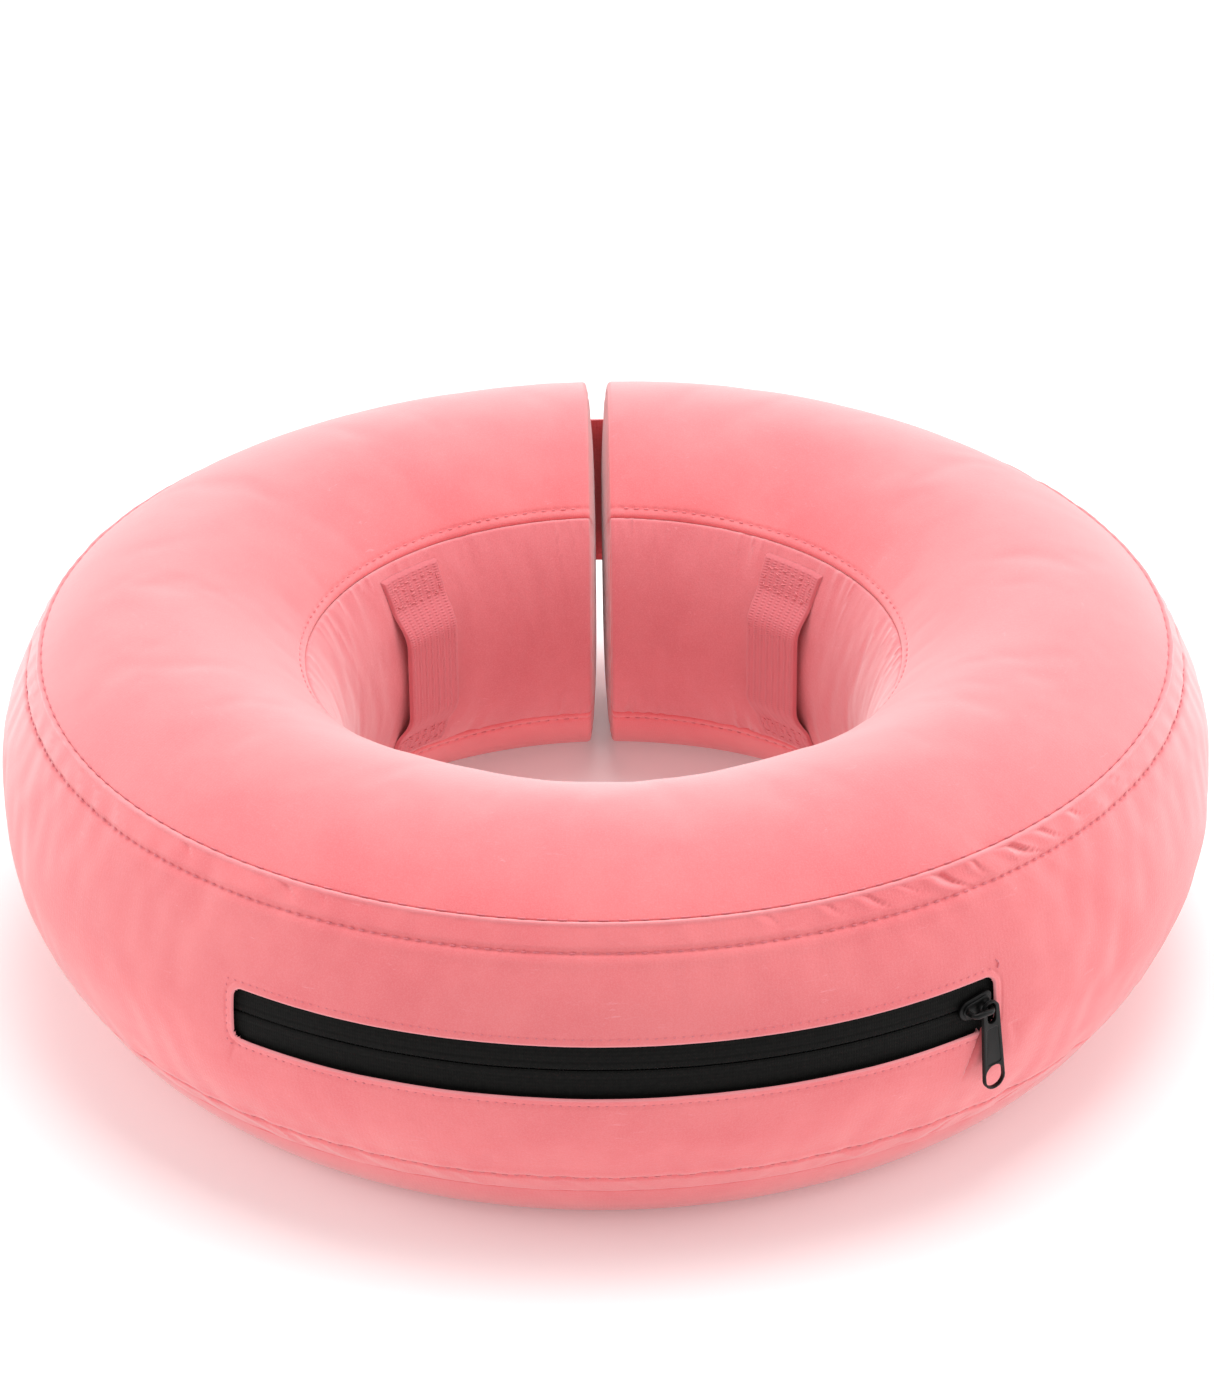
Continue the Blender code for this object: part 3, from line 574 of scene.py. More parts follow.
def panel_rows(panel):
    """Distances along the outline for a panel's rows, gathered at its seams and stitch rows."""
    o = OUTLINE
    welts = [seam + way * x for seam, way in ((o.seam_top, 1), (o.seam_low, -1)) for x in (0, 1 * MM, WELT)]
    lips = [ZIP_S - ZIP_HALF_HEIGHT, ZIP_S + ZIP_HALF_HEIGHT]
    features, coarse = {
        "top_panel": ([0, 3 * MM, o.seam_top], 4.0),
        "side_band": (welts + lips, 2.2),
        "bottom_panel": ([o.seam_low, o.neck_low - 3 * MM, o.neck_low], 4.0),
        "neck_lining": ([o.neck_low, o.length], 3.0),
    }[panel]
    return graded(min(features), max(features), features, coarse * MM, 0.16 * MM, 9 * MM)


def section_columns(panel, section):
    edge, back = FRONT_SPAN, math.pi
    if panel == "side_band" and section == "front":
        ends = [-ZIP_HALF_ANGLE, math.radians(33), ZIP_HALF_ANGLE]
        return graded(-edge, edge, ends, math.radians(0.27), 0.16 * MM / OUTER_R, math.radians(2.0))
    if section == "front":
        return np.linspace(-edge, edge, 261 if panel == "bladder" else 231)
    columns = graded(edge, back, [edge, back], math.radians(0.75), math.radians(0.15), math.radians(9))
    return -columns[::-1] if section == "left" else columns


def snap_to_zip(azimuth, s):
    """Moves the grid points nearest the opening's rounded corners onto its outline."""
    h = 0.01 * MM
    for _ in range(3):
        d = zip_distance(azimuth, s)
        gx = (zip_distance(azimuth + h / OUTER_R, s) - zip_distance(azimuth - h / OUTER_R, s)) / (2 * h)
        gy = (zip_distance(azimuth, s + h) - zip_distance(azimuth, s - h)) / (2 * h)
        near = np.abs(d) < 0.13 * MM
        azimuth = np.where(near, azimuth - gx * d / OUTER_R, azimuth)
        s = np.where(near, s - gy * d, s)
    return azimuth, s


def mark_folds(made, panel, azimuth, s, faces):
    """Stores where folded edges get a painted highlight: the zip's lip and the ridge along each welt."""
    x = np.minimum(s - OUTLINE.seam_top, OUTLINE.seam_low - s)
    lip = bump(zip_distance(azimuth, s) - 0.2 * MM, 0.35 * MM)
    pale_edge = np.clip(lip + 0.6 * bump(x - 0.8 * MM, 0.5 * MM), 0, 1) * (panel == "side_band")
    outer = pale_edge[np.unique(faces)]
    layer = made.data.attributes.new("fold_wear", "FLOAT", "POINT")
    layer.data.foreach_set("value", np.concatenate([outer, 0 * outer]).astype(np.float32))


def panel_mesh(panel, section, material):
    """One cover panel's section, its edges tucked into the seams."""
    azimuth, s = np.meshgrid(section_columns(panel, section), panel_rows(panel))
    has_zip = panel == "side_band" and section == "front"
    if has_zip:
        azimuth, s = snap_to_zip(azimuth, s)
    points = skin(panel, azimuth, s)
    edges = OUTLINE.outward(azimuth[[0, -1]], s[[0, -1]])
    grid = np.concatenate([points[:1] - edges[0] * TUCK[::-1], points, points[-1:] - edges[1] * TUCK])
    normals = panel_surface(panel).normals(azimuth, s)
    uv = np.stack([azimuth * CROWN_R, s], -1)
    tucked = ((len(TUCK), len(TUCK)), (0, 0))
    normals, uv = (np.pad(g, (*tucked, (0, 0)), mode="edge").reshape(-1, g.shape[-1]) for g in (normals, uv))
    azimuth, s = (np.pad(g, tucked, mode="edge").ravel() for g in (azimuth, s))
    faces = grid_faces(numbered(*grid.shape[:2]))
    thickness = CLOTH
    if has_zip:
        faces = faces[zip_distance(azimuth[faces].mean(1), s[faces].mean(1)) > 0]
        thickness = CLOTH * (1 - 0.5 * bump(zip_distance(azimuth, s), 2 * MM))
    made = shell(f"{panel}_{section}_cloth", grid.reshape(-1, 3), normals, faces, thickness, material, uv)
    mark_folds(made, panel, azimuth, s, faces)
    bend_with(made, section)
    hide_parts(f"{panel}_{section}")


# ---------------------------------------------------------------- cloth simulation of the filled cover

SIM_COLUMNS = 216
SIM_CELL = 4.6 * MM
SIM_FRAMES = 20
# Where the sheet starts off the outline, the most that it may swell, and the share of that used
SIM_START = -0.6 * MM
SIM_CAP = 1.5 * MM
SIM_SHARE = 0.6
SIM_SETTINGS = {
    "quality": 5,
    "mass": 0.2,
    "tension_stiffness": 15,
    "compression_stiffness": 8,
    "shear_stiffness": 5,
    "bending_stiffness": 0.05,
    "use_pressure": True,
    "uniform_pressure_force": 4.0,
    "shrink_min": -0.03,
    "vertex_group_mass": "seams",
}


def sim_rows():
    """Outline distances for the simulated sheet's rows, and which of them are sewn seams."""
    values, sewn = [], []
    for low, high in zip(OUTLINE.marks, OUTLINE.marks[1:]):
        count = round((high - low) / SIM_CELL)
        values.extend(np.linspace(low, high, count, endpoint=False))
        sewn.extend([True] + [False] * (count - 1))
    return np.array(values), np.array(sewn)


class Inflated:
    """The simulated cloth's distance off the outline, as a smooth function of azimuth and s."""

    def __init__(self, rows, moved):
        self.rows = rows
        self.moved = moved

    def __call__(self, azimuth, s):
        azimuth, s = np.broadcast_arrays(azimuth, s)
        count, around = self.moved.shape
        y = np.interp(s, np.append(self.rows, OUTLINE.length), np.arange(count + 1))
        x = azimuth / (2 * math.pi) % 1.0 * around
        total = 0
        for j, across in spline_weights(y):
            for i, along in spline_weights(x):
                total = total + across * along * self.moved[j % count, i % around]
        return total


def spline_weights(x):
    """The four (index, weight) pairs of a cubic B-spline at x."""
    i = np.floor(x).astype(int)
    t = x - i
    return (
        (i - 1, (1 - t) ** 3 / 6),
        (i, (3 * t**3 - 6 * t**2 + 4) / 6),
        (i + 1, (-3 * t**3 + 3 * t**2 + 3 * t + 1) / 6),
        (i + 2, t**3 / 6),
    )


def inflate_cover():
    """Blows the cover up between its sewn seams, as cloth, and keeps how far each place moved."""
    rows, sewn = sim_rows()
    azimuth, s = np.meshgrid(np.linspace(0, 2 * math.pi, SIM_COLUMNS, endpoint=False), rows)
    r, z = OUTLINE.at(s)[:2]
    outward = OUTLINE.outward(azimuth, s)
    start = polar(r, azimuth, z)
    faces = np.roll(closed_faces(*s.shape, 1, 1)[:, ::-1], 1, axis=1)
    sheet = mesh_object("cover_sheet", (start + outward * SIM_START).reshape(-1, 3), faces, None)
    seams = sheet.vertex_groups.new(name="seams")
    seams.add([int(i) for i in numbered(*s.shape)[sewn].ravel()], 1.0, "REPLACE")
    cloth = sheet.modifiers.new("cloth", "CLOTH")
    for setting, value in SIM_SETTINGS.items():
        setattr(cloth.settings, setting, value)
    cloth.settings.effector_weights.gravity = 0
    cloth.collision_settings.use_collision = False
    cloth.point_cache.frame_start = 1
    cloth.point_cache.frame_end = SIM_FRAMES
    scene = bpy.context.scene
    for step in range(1, SIM_FRAMES + 1):
        scene.frame_set(step)
    blown = sheet.evaluated_get(bpy.context.evaluated_depsgraph_get()).data
    ended = np.empty(len(blown.vertices) * 3, np.float32)
    blown.vertices.foreach_get("co", ended)
    moved = ((ended.reshape(start.shape) - start) * outward).sum(-1)
    bpy.data.meshes.remove(sheet.data)
    scene.frame_set(1)
    moved = moved - moved.mean(1, keepdims=True)
    return Inflated(rows, SIM_CAP * np.tanh(moved / SIM_CAP))


INFLATED = inflate_cover()


# ---------------------------------------------------------------- materials


class Nodes:
    """A small helper that adds and links shader nodes by name."""

    def __init__(self, name):
        self.material = bpy.data.materials.new(name)
        self.material.use_nodes = True
        self.tree = self.material.node_tree
        self.shader = self.tree.nodes["Principled BSDF"]

    def add(self, kind, inputs=None, **settings):
        node = self.tree.nodes.new(kind)
        for key, value in settings.items():
            setattr(node, key, value)
        for key, value in (inputs or {}).items():
            self.feed(node.inputs[key], value)
        return node

    def feed(self, socket, value):
        if isinstance(value, bpy.types.NodeSocket):
            self.tree.links.new(value, socket)
        elif isinstance(value, bpy.types.Node):
            self.tree.links.new(value.outputs[0], socket)
        else:
            socket.default_value = value

    def math(self, operation, a, b=0.5):
        return self.add("ShaderNodeMath", {0: a, 1: b}, operation=operation)

    def ramp(self, value, low, high):
        """0 below low and 1 above high."""
        return self.add(
            "ShaderNodeMapRange",
            {"Value": value, "From Min": low, "From Max": high},
            interpolation_type="SMOOTHSTEP",
        )

    def noise(self, vector, scale, detail=2.0, roughness=0.5, distortion=0.0):
        inputs = {"Vector": vector, "Scale": scale, "Detail": detail}
        return self.add("ShaderNodeTexNoise", {**inputs, "Roughness": roughness, "Distortion": distortion})

    def span(self, value, low, high):
        """Values from 0 to 1 spread from low to high."""
        return self.add("ShaderNodeMapRange", {"Value": value, "To Min": low, "To Max": high})

    def wave(self, vector, scale, distortion, direction="X", detail=2.0):
        inputs = {"Vector": vector, "Scale": scale, "Distortion": distortion, "Detail": detail}
        return self.add("ShaderNodeTexWave", inputs, bands_direction=direction).outputs["Fac"]

    def mix(self, share, a, b):
        node = self.add("ShaderNodeMix", {"Factor": share, "A": a, "B": b}, data_type="RGBA")
        return node.outputs["Result"]

    def total(self, *terms):
        """The sum of (value, share) terms."""
        made = [self.math("MULTIPLY", value, share) for value, share in terms]
        return functools.reduce(lambda a, b: self.math("ADD", a, b), made)

    def on_cloth(self):
        return self.add("ShaderNodeUVMap", uv_map="cloth")

    def in_solid(self):
        return self.add("ShaderNodeTexCoord").outputs["Object"]

    def finish(self, tone, roughness, height, depth, strength, **others):
        """Feeds the shader's inputs, the bump depth metres high, and returns the material."""
        bumps = self.add("ShaderNodeBump", {"Height": height, "Distance": depth, "Strength": strength})
        fed = {"base_color": tone, "roughness": roughness, "normal": bumps, **others}
        for socket in self.shader.inputs:
            name = socket.name.lower().replace(" ", "_")
            if name in fed:
                self.feed(socket, fed[name])
        return self.material


def colour(r, g, b):
    """An sRGB colour, 0 to 255, as linear."""
    made = []
    for c in (r / 255, g / 255, b / 255):
        made.append(c / 12.92 if c <= 0.04045 else ((c + 0.055) / 1.055) ** 2.4)
    return (*made, 1.0)


def brushed_cloth(name, base, deep, light):
    """Peach-skin microfibre: fine nap, faint brushing marks, a soft sheen, painted sheen on up-facing cloth
    and painted highlights on folded edges.
    """
    n = Nodes(name)
    place, solid = n.on_cloth(), n.in_solid()
    nap = n.noise(solid, 2600, 2, 0.6)
    grain = n.noise(solid, 900, 3, 0.6)
    brushed = n.add("ShaderNodeMapping", {"Vector": place, "Scale": (260, 900, 1), "Rotation": (0, 0, 0.5)})
    strokes = n.noise(brushed, 1.0, 3, 0.65, 1.2)
    twill = n.wave(place, 380, 1.5, detail=1.0)
    cloud = n.total((n.noise(solid, 22), 0.6), (n.noise(solid, 75, 3, 0.6), 0.4))
    tone = n.mix(n.ramp(cloud, 0.30, 0.72), deep, base)
    marks = n.math("MULTIPLY", n.ramp(strokes, 0.60, 0.78), n.ramp(n.noise(solid, 60), 0.45, 0.7))
    tone = n.mix(n.math("MULTIPLY", marks, 0.55), tone, light)
    tone = n.mix(n.math("MULTIPLY", n.ramp(nap, 0.35, 0.75), 0.16), tone, light)
    # Painted sheen: cloth that faces up is mixed towards a pale tint at grazing angles, in place of the
    # light from above
    facing = n.add("ShaderNodeLayerWeight", {"Blend": 0.5}).outputs["Facing"]
    normal = n.add("ShaderNodeNewGeometry").outputs["Normal"]
    upward = n.ramp(n.add("ShaderNodeSeparateXYZ", {"Vector": normal}).outputs["Z"], -0.2, 0.75)
    painted_sheen = n.math("MULTIPLY", n.math("MULTIPLY", n.math("POWER", facing, 2.0), 0.75), upward)
    tone = n.mix(painted_sheen, tone, PAINTED_SHEEN_TINT)
    fold_highlight = n.add("ShaderNodeAttribute", attribute_name="fold_wear").outputs["Fac"]
    # Painted highlight: the folded edges are mixed towards the light tone
    tone = n.mix(n.math("MULTIPLY", fold_highlight, 0.55), tone, light)
    height = n.total((nap, 0.5), (grain, 0.8), (strokes, 0.6), (twill, 0.12))
    sheen = {"sheen_weight": 0.75, "sheen_roughness": 0.42, "sheen_tint": (1.0, 0.90, 0.90, 1.0)}
    rough = n.span(grain, 0.82, 0.98)
    return n.finish(tone, rough, height, 0.14 * MM, 0.75, specular_ior_level=0.18, **sheen)


def shaded(base):
    """A slightly deeper tone of a linear colour."""
    return [c * 0.85 for c in base[:3]] + [1]


def thread(name, base):
    """Spun thread with a fine fibre along it."""
    n = Nodes(name)
    fibre = n.noise(n.in_solid(), 4200, 2, 0.6)
    return n.finish(n.mix(fibre, base, shaded(base)), 0.7, fibre, 0.1 * MM, 0.8, sheen_weight=0.3)


def zip_tape(name):
    """Black woven tape: fine ribs along it and cross threads."""
    n = Nodes(name)
    place = n.on_cloth()
    weave = n.math("MULTIPLY", n.wave(place, 260, 0.4, "Y"), n.wave(place, 420, 0.6))
    dust = n.ramp(n.noise(place, 700, 3, 0.6), 0.35, 0.8)
    tone = n.mix(dust, colour(8, 8, 7), colour(18, 18, 16))
    return n.finish(tone, 0.85, weave, 0.12 * MM, 0.7, specular_ior_level=0.22)


def enamel(name, base, pale_edge):
    """Black painted die-cast metal, a little rubbed on its edges."""
    n = Nodes(name)
    solid = n.in_solid()
    flow = n.noise(solid, 500, 3, 0.6)
    edge = n.add("ShaderNodeNewGeometry").outputs["Pointiness"]
    rub = n.math("MULTIPLY", n.ramp(edge, 0.53, 0.62), n.ramp(flow, 0.4, 0.7))
    coat = {"coat_weight": 0.1, "coat_roughness": 0.15, "metallic": 0.1, "specular_ior_level": 0.2}
    tone, rough = n.mix(rub, base, pale_edge), n.span(flow, 0.3, 0.5)
    return n.finish(tone, rough, n.noise(solid, 1400), 0.03 * MM, 0.4, **coat)


def webbing(name, base, deep, ribs, cross, depth):
    """Woven tape: ribs along it, crossed by finer threads."""
    n = Nodes(name)
    place, solid = n.on_cloth(), n.in_solid()
    weave = n.math("MULTIPLY", n.wave(place, ribs, 0.5), n.wave(place, cross, 0.7, "Y"))
    tone = n.mix(n.ramp(n.noise(solid, 70, 3, 0.6), 0.3, 0.7), deep, base)
    tone = n.mix(0.5, n.mix(n.math("MULTIPLY", weave, 0.35), deep, tone), base)
    height = n.math("ADD", weave, n.math("MULTIPLY", n.noise(solid, 2200), 0.4))
    return n.finish(tone, 0.82, height, depth, 0.9, sheen_weight=0.2)


def fastener(name, base, painted_hollow_shade, size, depth):
    """Hook-and-loop: rows of hooks, or a tangled pile, by the size of its cells."""
    n = Nodes(name)
    place = n.on_cloth()
    cells = n.add("ShaderNodeTexVoronoi", {"Vector": place, "Scale": size, "Randomness": 0.55})
    fibre = n.noise(place, size * 1.7, 4, 0.7, 1.5)
    height = n.math("SUBTRACT", fibre, cells.outputs["Distance"])
    # Painted shade: the low parts of the hooks and pile are mixed towards the darker colour
    tone = n.mix(n.ramp(height, -0.2, 0.45), painted_hollow_shade, base)
    return n.finish(tone, 0.9, height, depth, 1.0, sheen_weight=0.35)


def plastic(name, base, rough, clear=0.0):
    """Smooth moulded plastic or vinyl with a faint flow texture and handling marks."""
    n = Nodes(name)
    solid = n.in_solid()
    flow = n.noise(solid, 120, 4, 0.6)
    scuff = n.span(n.noise(solid, 700, 3), rough, rough + 0.2)
    return n.finish(n.mix(flow, base, shaded(base)), scuff, flow, 0.1 * MM, 0.3, transmission_weight=clear)


# The pale tint of the painted sheen on up-facing cloth
PAINTED_SHEEN_TINT = colour(255, 206, 209)
PINK = colour(246, 134, 137)
PINK_DEEP = colour(239, 120, 125)
PINK_LIGHT = colour(255, 178, 184)
COVER = brushed_cloth("cover_microfibre", PINK, PINK_DEEP, PINK_LIGHT)
LINING = brushed_cloth("lining_microfibre", colour(230, 130, 135), colour(222, 118, 124), PINK_LIGHT)
THREAD = thread("rose_thread", colour(236, 126, 136))
FAINT_THREAD = thread("faint_rose_thread", colour(238, 132, 138))
TAPE = zip_tape("black_zip_tape")
COIL = plastic("black_nylon", colour(10, 10, 10), 0.7)
ENAMEL = enamel("black_enamel", colour(6, 6, 6), colour(50, 50, 48))
TAB_METAL = enamel("tab_enamel", colour(10, 11, 11), colour(46, 46, 44))
STRAP = webbing("strap_webbing", PINK, PINK_DEEP, 320, 320, 0.16 * MM)
WEBBING = webbing("loop_webbing", colour(226, 124, 130), colour(206, 102, 110), 130, 420, 0.20 * MM)
# The second colour of each hook-and-loop material is the painted shade in its hollows
PILE = fastener("loop_pile", colour(220, 128, 134), colour(176, 84, 92), 1500, 0.35 * MM)
HOOKS = fastener("hook_pile", colour(214, 120, 126), colour(150, 66, 74), 620, 0.6 * MM)
VINYL = plastic("bladder_vinyl", colour(150, 175, 196), 0.25, 0.25)
VALVE = plastic("valve_plastic", colour(222, 226, 230), 0.3, 0.15)


# ---------------------------------------------------------------- thread


STITCH_SIDES = 6
STITCH_STATIONS = (-1.0, -0.72, 0.0, 0.72, 1.0)


def stitch_faces(rings, sides):
    """Quads over a stitch's rings of points and over its two tips, which are numbered after them."""
    near = np.arange(0, sides, 2)
    fan = np.stack([near, near + 1, (near + 2) % sides], 1)
    tip = np.full((len(fan), 1), rings * sides)
    ends = np.hstack([tip, fan[:, ::-1]]), np.hstack([tip + 1, fan + (rings - 1) * sides])
    return np.concatenate([closed_faces(rings, sides, across=1), *ends])


def stitches(name, surface, runs, material, length, radius=THREAD_R, sink=0.25 * MM):
    """One mesh of short bent threads. runs holds (a0, b0, a1, b1) rows, each stitch's two ends."""
    runs = np.asarray(runs, float)
    first, last = runs[:, :2], runs[:, 2:]
    middle = (first + last) / 2
    up = surface.normals(*middle.T)
    along = unit(surface(*last.T) - surface(*first.T))
    side = np.cross(up, along)
    uneven = np.random.RandomState(len(runs)).uniform(0, 1, (2, len(runs), 1))
    centre = surface(*middle.T) - up * (uneven[0] * 0.6 * radius)
    half = length * (0.38 + 0.14 * uneven[1])
    turn = np.linspace(0, 2 * math.pi, STITCH_SIDES, endpoint=False)[:, None]
    rings = []
    for t in STITCH_STATIONS:
        lift = -sink + (sink + 0.75 * radius) * math.sqrt(1 - t * t)
        size = radius * (1.0 if abs(t) < 0.9 else 0.55)
        place = centre + along * (t * half) + up * lift
        rings.append(place[:, None] + size * (np.cos(turn) * side[:, None] + np.sin(turn) * up[:, None]))
    rings = np.stack(rings, 1)
    points = np.concatenate([rings.reshape(len(runs), -1, 3), rings[:, [0, -1]].mean(2)], 1)
    body = stitch_faces(len(STITCH_STATIONS), STITCH_SIDES)
    faces = (body + np.arange(len(runs))[:, None, None] * points.shape[1]).reshape(-1, 4)
    return mesh_object(name, points.reshape(-1, 3), faces, material)


def row_runs(s, radius, low, high, row):
    """Stitches between the needle holes of a row that goes round the ring."""
    pitch, length = row
    step = 2 * math.pi / round(2 * math.pi * radius / pitch)
    middles = np.arange(math.ceil(low / step - 0.5), math.floor(high / step - 0.5) + 1) + 0.5
    middles = middles[(middles * step >= low) & (middles * step < high)] * step
    level = np.full_like(middles, s)
    half = length / 2 / radius
    return np.stack([middles - half, level, middles + half, level], 1)


def path_runs(path, scale, row=WEBBING_STITCH):
    """Stitches spaced along a path of (a, b) places; scale turns a and b into metres."""
    path = np.asarray(path, float)
    steps = np.linalg.norm(np.diff(path * scale, axis=0), axis=1)
    reach = np.concatenate([[0], np.cumsum(steps)])
    count = max(1, round(reach[-1] / row[0]))
    middles = (np.arange(count) + 0.5) * reach[-1] / count
    ends = middles[:, None] + np.array([-0.5, 0.5]) * row[1]
    found = [np.interp(ends, reach, path[:, i]) for i in (0, 1)]
    return np.stack(found, -1).reshape(-1, 4).tolist()


ROUND = (OUTER_R, 1.0)
SECTIONS = {
    "front": (-FRONT_SPAN, FRONT_SPAN),
    "left": (-math.pi + 0.02, -FRONT_SPAN),
    "right": (FRONT_SPAN, math.pi - 0.02),
}


def seam_threads():
    """The long rows that run round the ring, each cut into its three sections."""
    o = OUTLINE
    welt_r, neck_r = SEAM_R + 4 * MM, NECK_R + 7 * MM
    rows = (
        ("upper_seam", "top_panel", o.seam_top - 0.35 * MM, SEAM_R, SEAM_STITCH, THREAD),
        ("upper_topstitch", "side_band", o.seam_top + WELT, welt_r, TOPSTITCH, THREAD),
        ("lower_topstitch", "side_band", o.seam_low - WELT, welt_r, TOPSTITCH, FAINT_THREAD),
        ("neck_topstitch", "top_panel", 3 * MM, neck_r, TOPSTITCH, FAINT_THREAD),
        ("neck_lower_topstitch", "bottom_panel", o.neck_low - 3 * MM, neck_r, TOPSTITCH, FAINT_THREAD),
    )
    for name, panel, s, radius, row, material in rows:
        surface = panel_surface(panel)
        for section, (low, high) in SECTIONS.items():
            runs = row_runs(s, radius, low, high, row)
            bend_with(stitches(f"{name}_thread_{section}", surface, runs, material, row[1]), section)


# The loose thread's end and bends, in mm across and down from the border's last stitch
THREAD_END = ((0.7, -2.3), (1.8, -0.9), (1.1, 0.5))


def zip_border_thread():
    """The dots of thread round the zip opening, and the loose end above its closed corner."""
    surface = panel_surface("side_band")
    side = ZIP_HALF_ANGLE + ZIP_STITCH / OUTER_R
    top, low = (ZIP_S + way * (ZIP_HALF_HEIGHT + ZIP_STITCH) for way in (-1, 1))
    right = side - 2 * MM / OUTER_R
    runs = path_runs([(-side, low), (-side, top), (right, top)], ROUND, BORDER_STITCH)
    runs += path_runs([(-side, low), (side, low)], ROUND, BORDER_STITCH)
    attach(stitches("zip_border_thread", surface, runs, THREAD, BORDER_STITCH[1], 0.2 * MM), "front_section")
    a, b, c = [(right + x * MM / OUTER_R, top + y * MM) for x, y in THREAD_END]
    end = stitches("zip_thread_end", surface, [(*a, *b), (*b, *c)], THREAD, 1.9 * MM, 0.3 * MM, 0.1 * MM)
    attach(end, "front_section")


# ---------------------------------------------------------------- zip


TAPE_HALF_ANGLE = math.radians(38.6)
TAPE_DEPTH = 2.2 * MM
TAPE_EDGE = 13.0 * MM
TAPE_SLIT = 0.22 * MM
TAPE_THICKNESS = 0.55 * MM
COIL_R = 170.9 * MM
COIL_PITCH = 1.3 * MM
COIL_WIRE = 0.27 * MM


def zip_tapes():
    """The woven tapes; each turns in a little where the coils are sewn behind it."""
    across = graded(TAPE_SLIT, TAPE_EDGE, [TAPE_SLIT, 2.6 * MM], 1.2 * MM, 0.12 * MM, 3 * MM)
    a, y = np.meshgrid(np.linspace(-TAPE_HALF_ANGLE, TAPE_HALF_ANGLE, 400), across)
    for name, side in (("upper", -1), ("lower", 1)):
        turned_in = 0.30 * MM * bump(y - TAPE_SLIT, 0.40 * MM) + 0.12 * MM * bump(y - 2.7 * MM, 0.5 * MM)
        uneven = 0.05 * MM * smooth_noise(a / (2 * math.pi), y / (9 * MM), 160, 31 + side)
        grid = stand_off(a, ZIP_S + side * y, -(TAPE_DEPTH + turned_in + uneven))
        normals = grid_normals(grid, polar(1.0, a, 0.0)).reshape(-1, 3)
        uv = np.stack([a * OUTER_R, side * y], -1).reshape(-1, 2)
        faces = grid_faces(numbered(*a.shape))
        points = grid.reshape(-1, 3)
        tape = shell(f"zip_tape_{name}_weave", points, normals, faces, TAPE_THICKNESS, TAPE, uv)
        stand_for(tape, f"zip_tape_{name}", "front_section")


def sweep(path, side, up, sides):
    """Points and faces of a capped tube; side and up are the half axes of its section along it."""
    turn = np.linspace(0, 2 * math.pi, sides, endpoint=False)[:, None]
    ring = path[:, None] + np.cos(turn) * side[:, None] + np.sin(turn) * up[:, None]
    index = numbered(len(path), sides)
    faces = [closed_faces(len(path), sides, across=1)]
    for loop in (index[0, ::-1], index[-1]):
        faces.append([(loop[0], loop[j], loop[j + 1], loop[j + 2]) for j in range(1, sides - 2, 2)])
    return ring.reshape(-1, 3), np.concatenate(faces)


def zip_coils():
    """The two nylon coils behind the tapes."""
    turns = int(2 * ZIP_HALF_ANGLE * COIL_R / COIL_PITCH)
    t = np.linspace(0, turns, turns * 10 + 1)
    azimuth = -ZIP_HALF_ANGLE + 2 * ZIP_HALF_ANGLE * t / turns
    phase = 2 * math.pi * t
    for name, side in (("upper", 1), ("lower", -1)):
        r = COIL_R + 0.45 * MM * np.sin(phase)
        path = polar(r, azimuth, ZIP_Z + side * (1.9 * MM + 1.05 * MM * np.cos(phase)))
        along = unit(np.gradient(path, axis=0))
        first = unit(np.cross(along, polar(1.0, azimuth, 0.0)))
        points, faces = sweep(path, first * COIL_WIRE, np.cross(first, along) * COIL_WIRE, 6)
        coil = mesh_object(f"zip_coil_{name}_helix", points, faces[:, ::-1], COIL)
        stand_for(coil, f"zip_coil_{name}", "front_section")


def plate(loops, thickness, bevel):
    """A flat plate cut to closed outlines of (u, v), the first its edge and the others holes."""
    curve = bpy.data.curves.new("plate", "CURVE")
    curve.dimensions = "2D"
    curve.fill_mode = "BOTH"
    curve.extrude = thickness / 2 - bevel
    curve.bevel_depth = bevel
    curve.bevel_resolution = 3
    curve.offset = -bevel
    for loop in loops:
        line = curve.splines.new("POLY")
        line.points.add(len(loop) - 1)
        for point, (u, v) in zip(line.points, loop):
            point.co = (u, v, 0, 1)
        line.use_cyclic_u = True
    holder = linked("plate", curve)
    bpy.context.view_layer.update()
    mesh = bpy.data.meshes.new_from_object(holder.evaluated_get(bpy.context.evaluated_depsgraph_get()))
    bpy.data.objects.remove(holder)
    bpy.data.curves.remove(curve)
    return mesh


SHARP_EDGE = math.radians(40)


def join_meshes(name, parts, material):
    """One smooth-shaded object from (mesh, matrix) pairs."""
    bm = bmesh.new()
    for mesh, matrix in parts:
        piece = bmesh.new()
        piece.from_mesh(mesh)
        bmesh.ops.remove_doubles(piece, verts=piece.verts[:], dist=1e-7)
        bmesh.ops.recalc_face_normals(piece, faces=piece.faces[:])
        piece.transform(matrix)
        moved = bpy.data.meshes.new("moved")
        piece.to_mesh(moved)
        piece.free()
        bm.from_mesh(moved)
        bpy.data.meshes.remove(moved)
        bpy.data.meshes.remove(mesh)
    mesh = bpy.data.meshes.new(name)
    bm.to_mesh(mesh)
    bm.free()
    mesh.materials.clear()
    mesh.materials.append(material)
    for face in mesh.polygons:
        face.material_index = 0
        face.use_smooth = True
    mesh.set_sharp_from_angle(angle=SHARP_EDGE)
    return linked(name, mesh)


def mesh_from(points, faces):
    mesh = bpy.data.meshes.new("part")
    mesh.from_pydata([tuple(p) for p in points], [], [tuple(int(i) for i in f) for f in faces])
    return mesh


def circle_arc(centre, radius, start, end, count):
    turn = np.linspace(start, end, count)
    return [(centre[0] + radius * math.cos(t), centre[1] + radius * math.sin(t)) for t in turn]


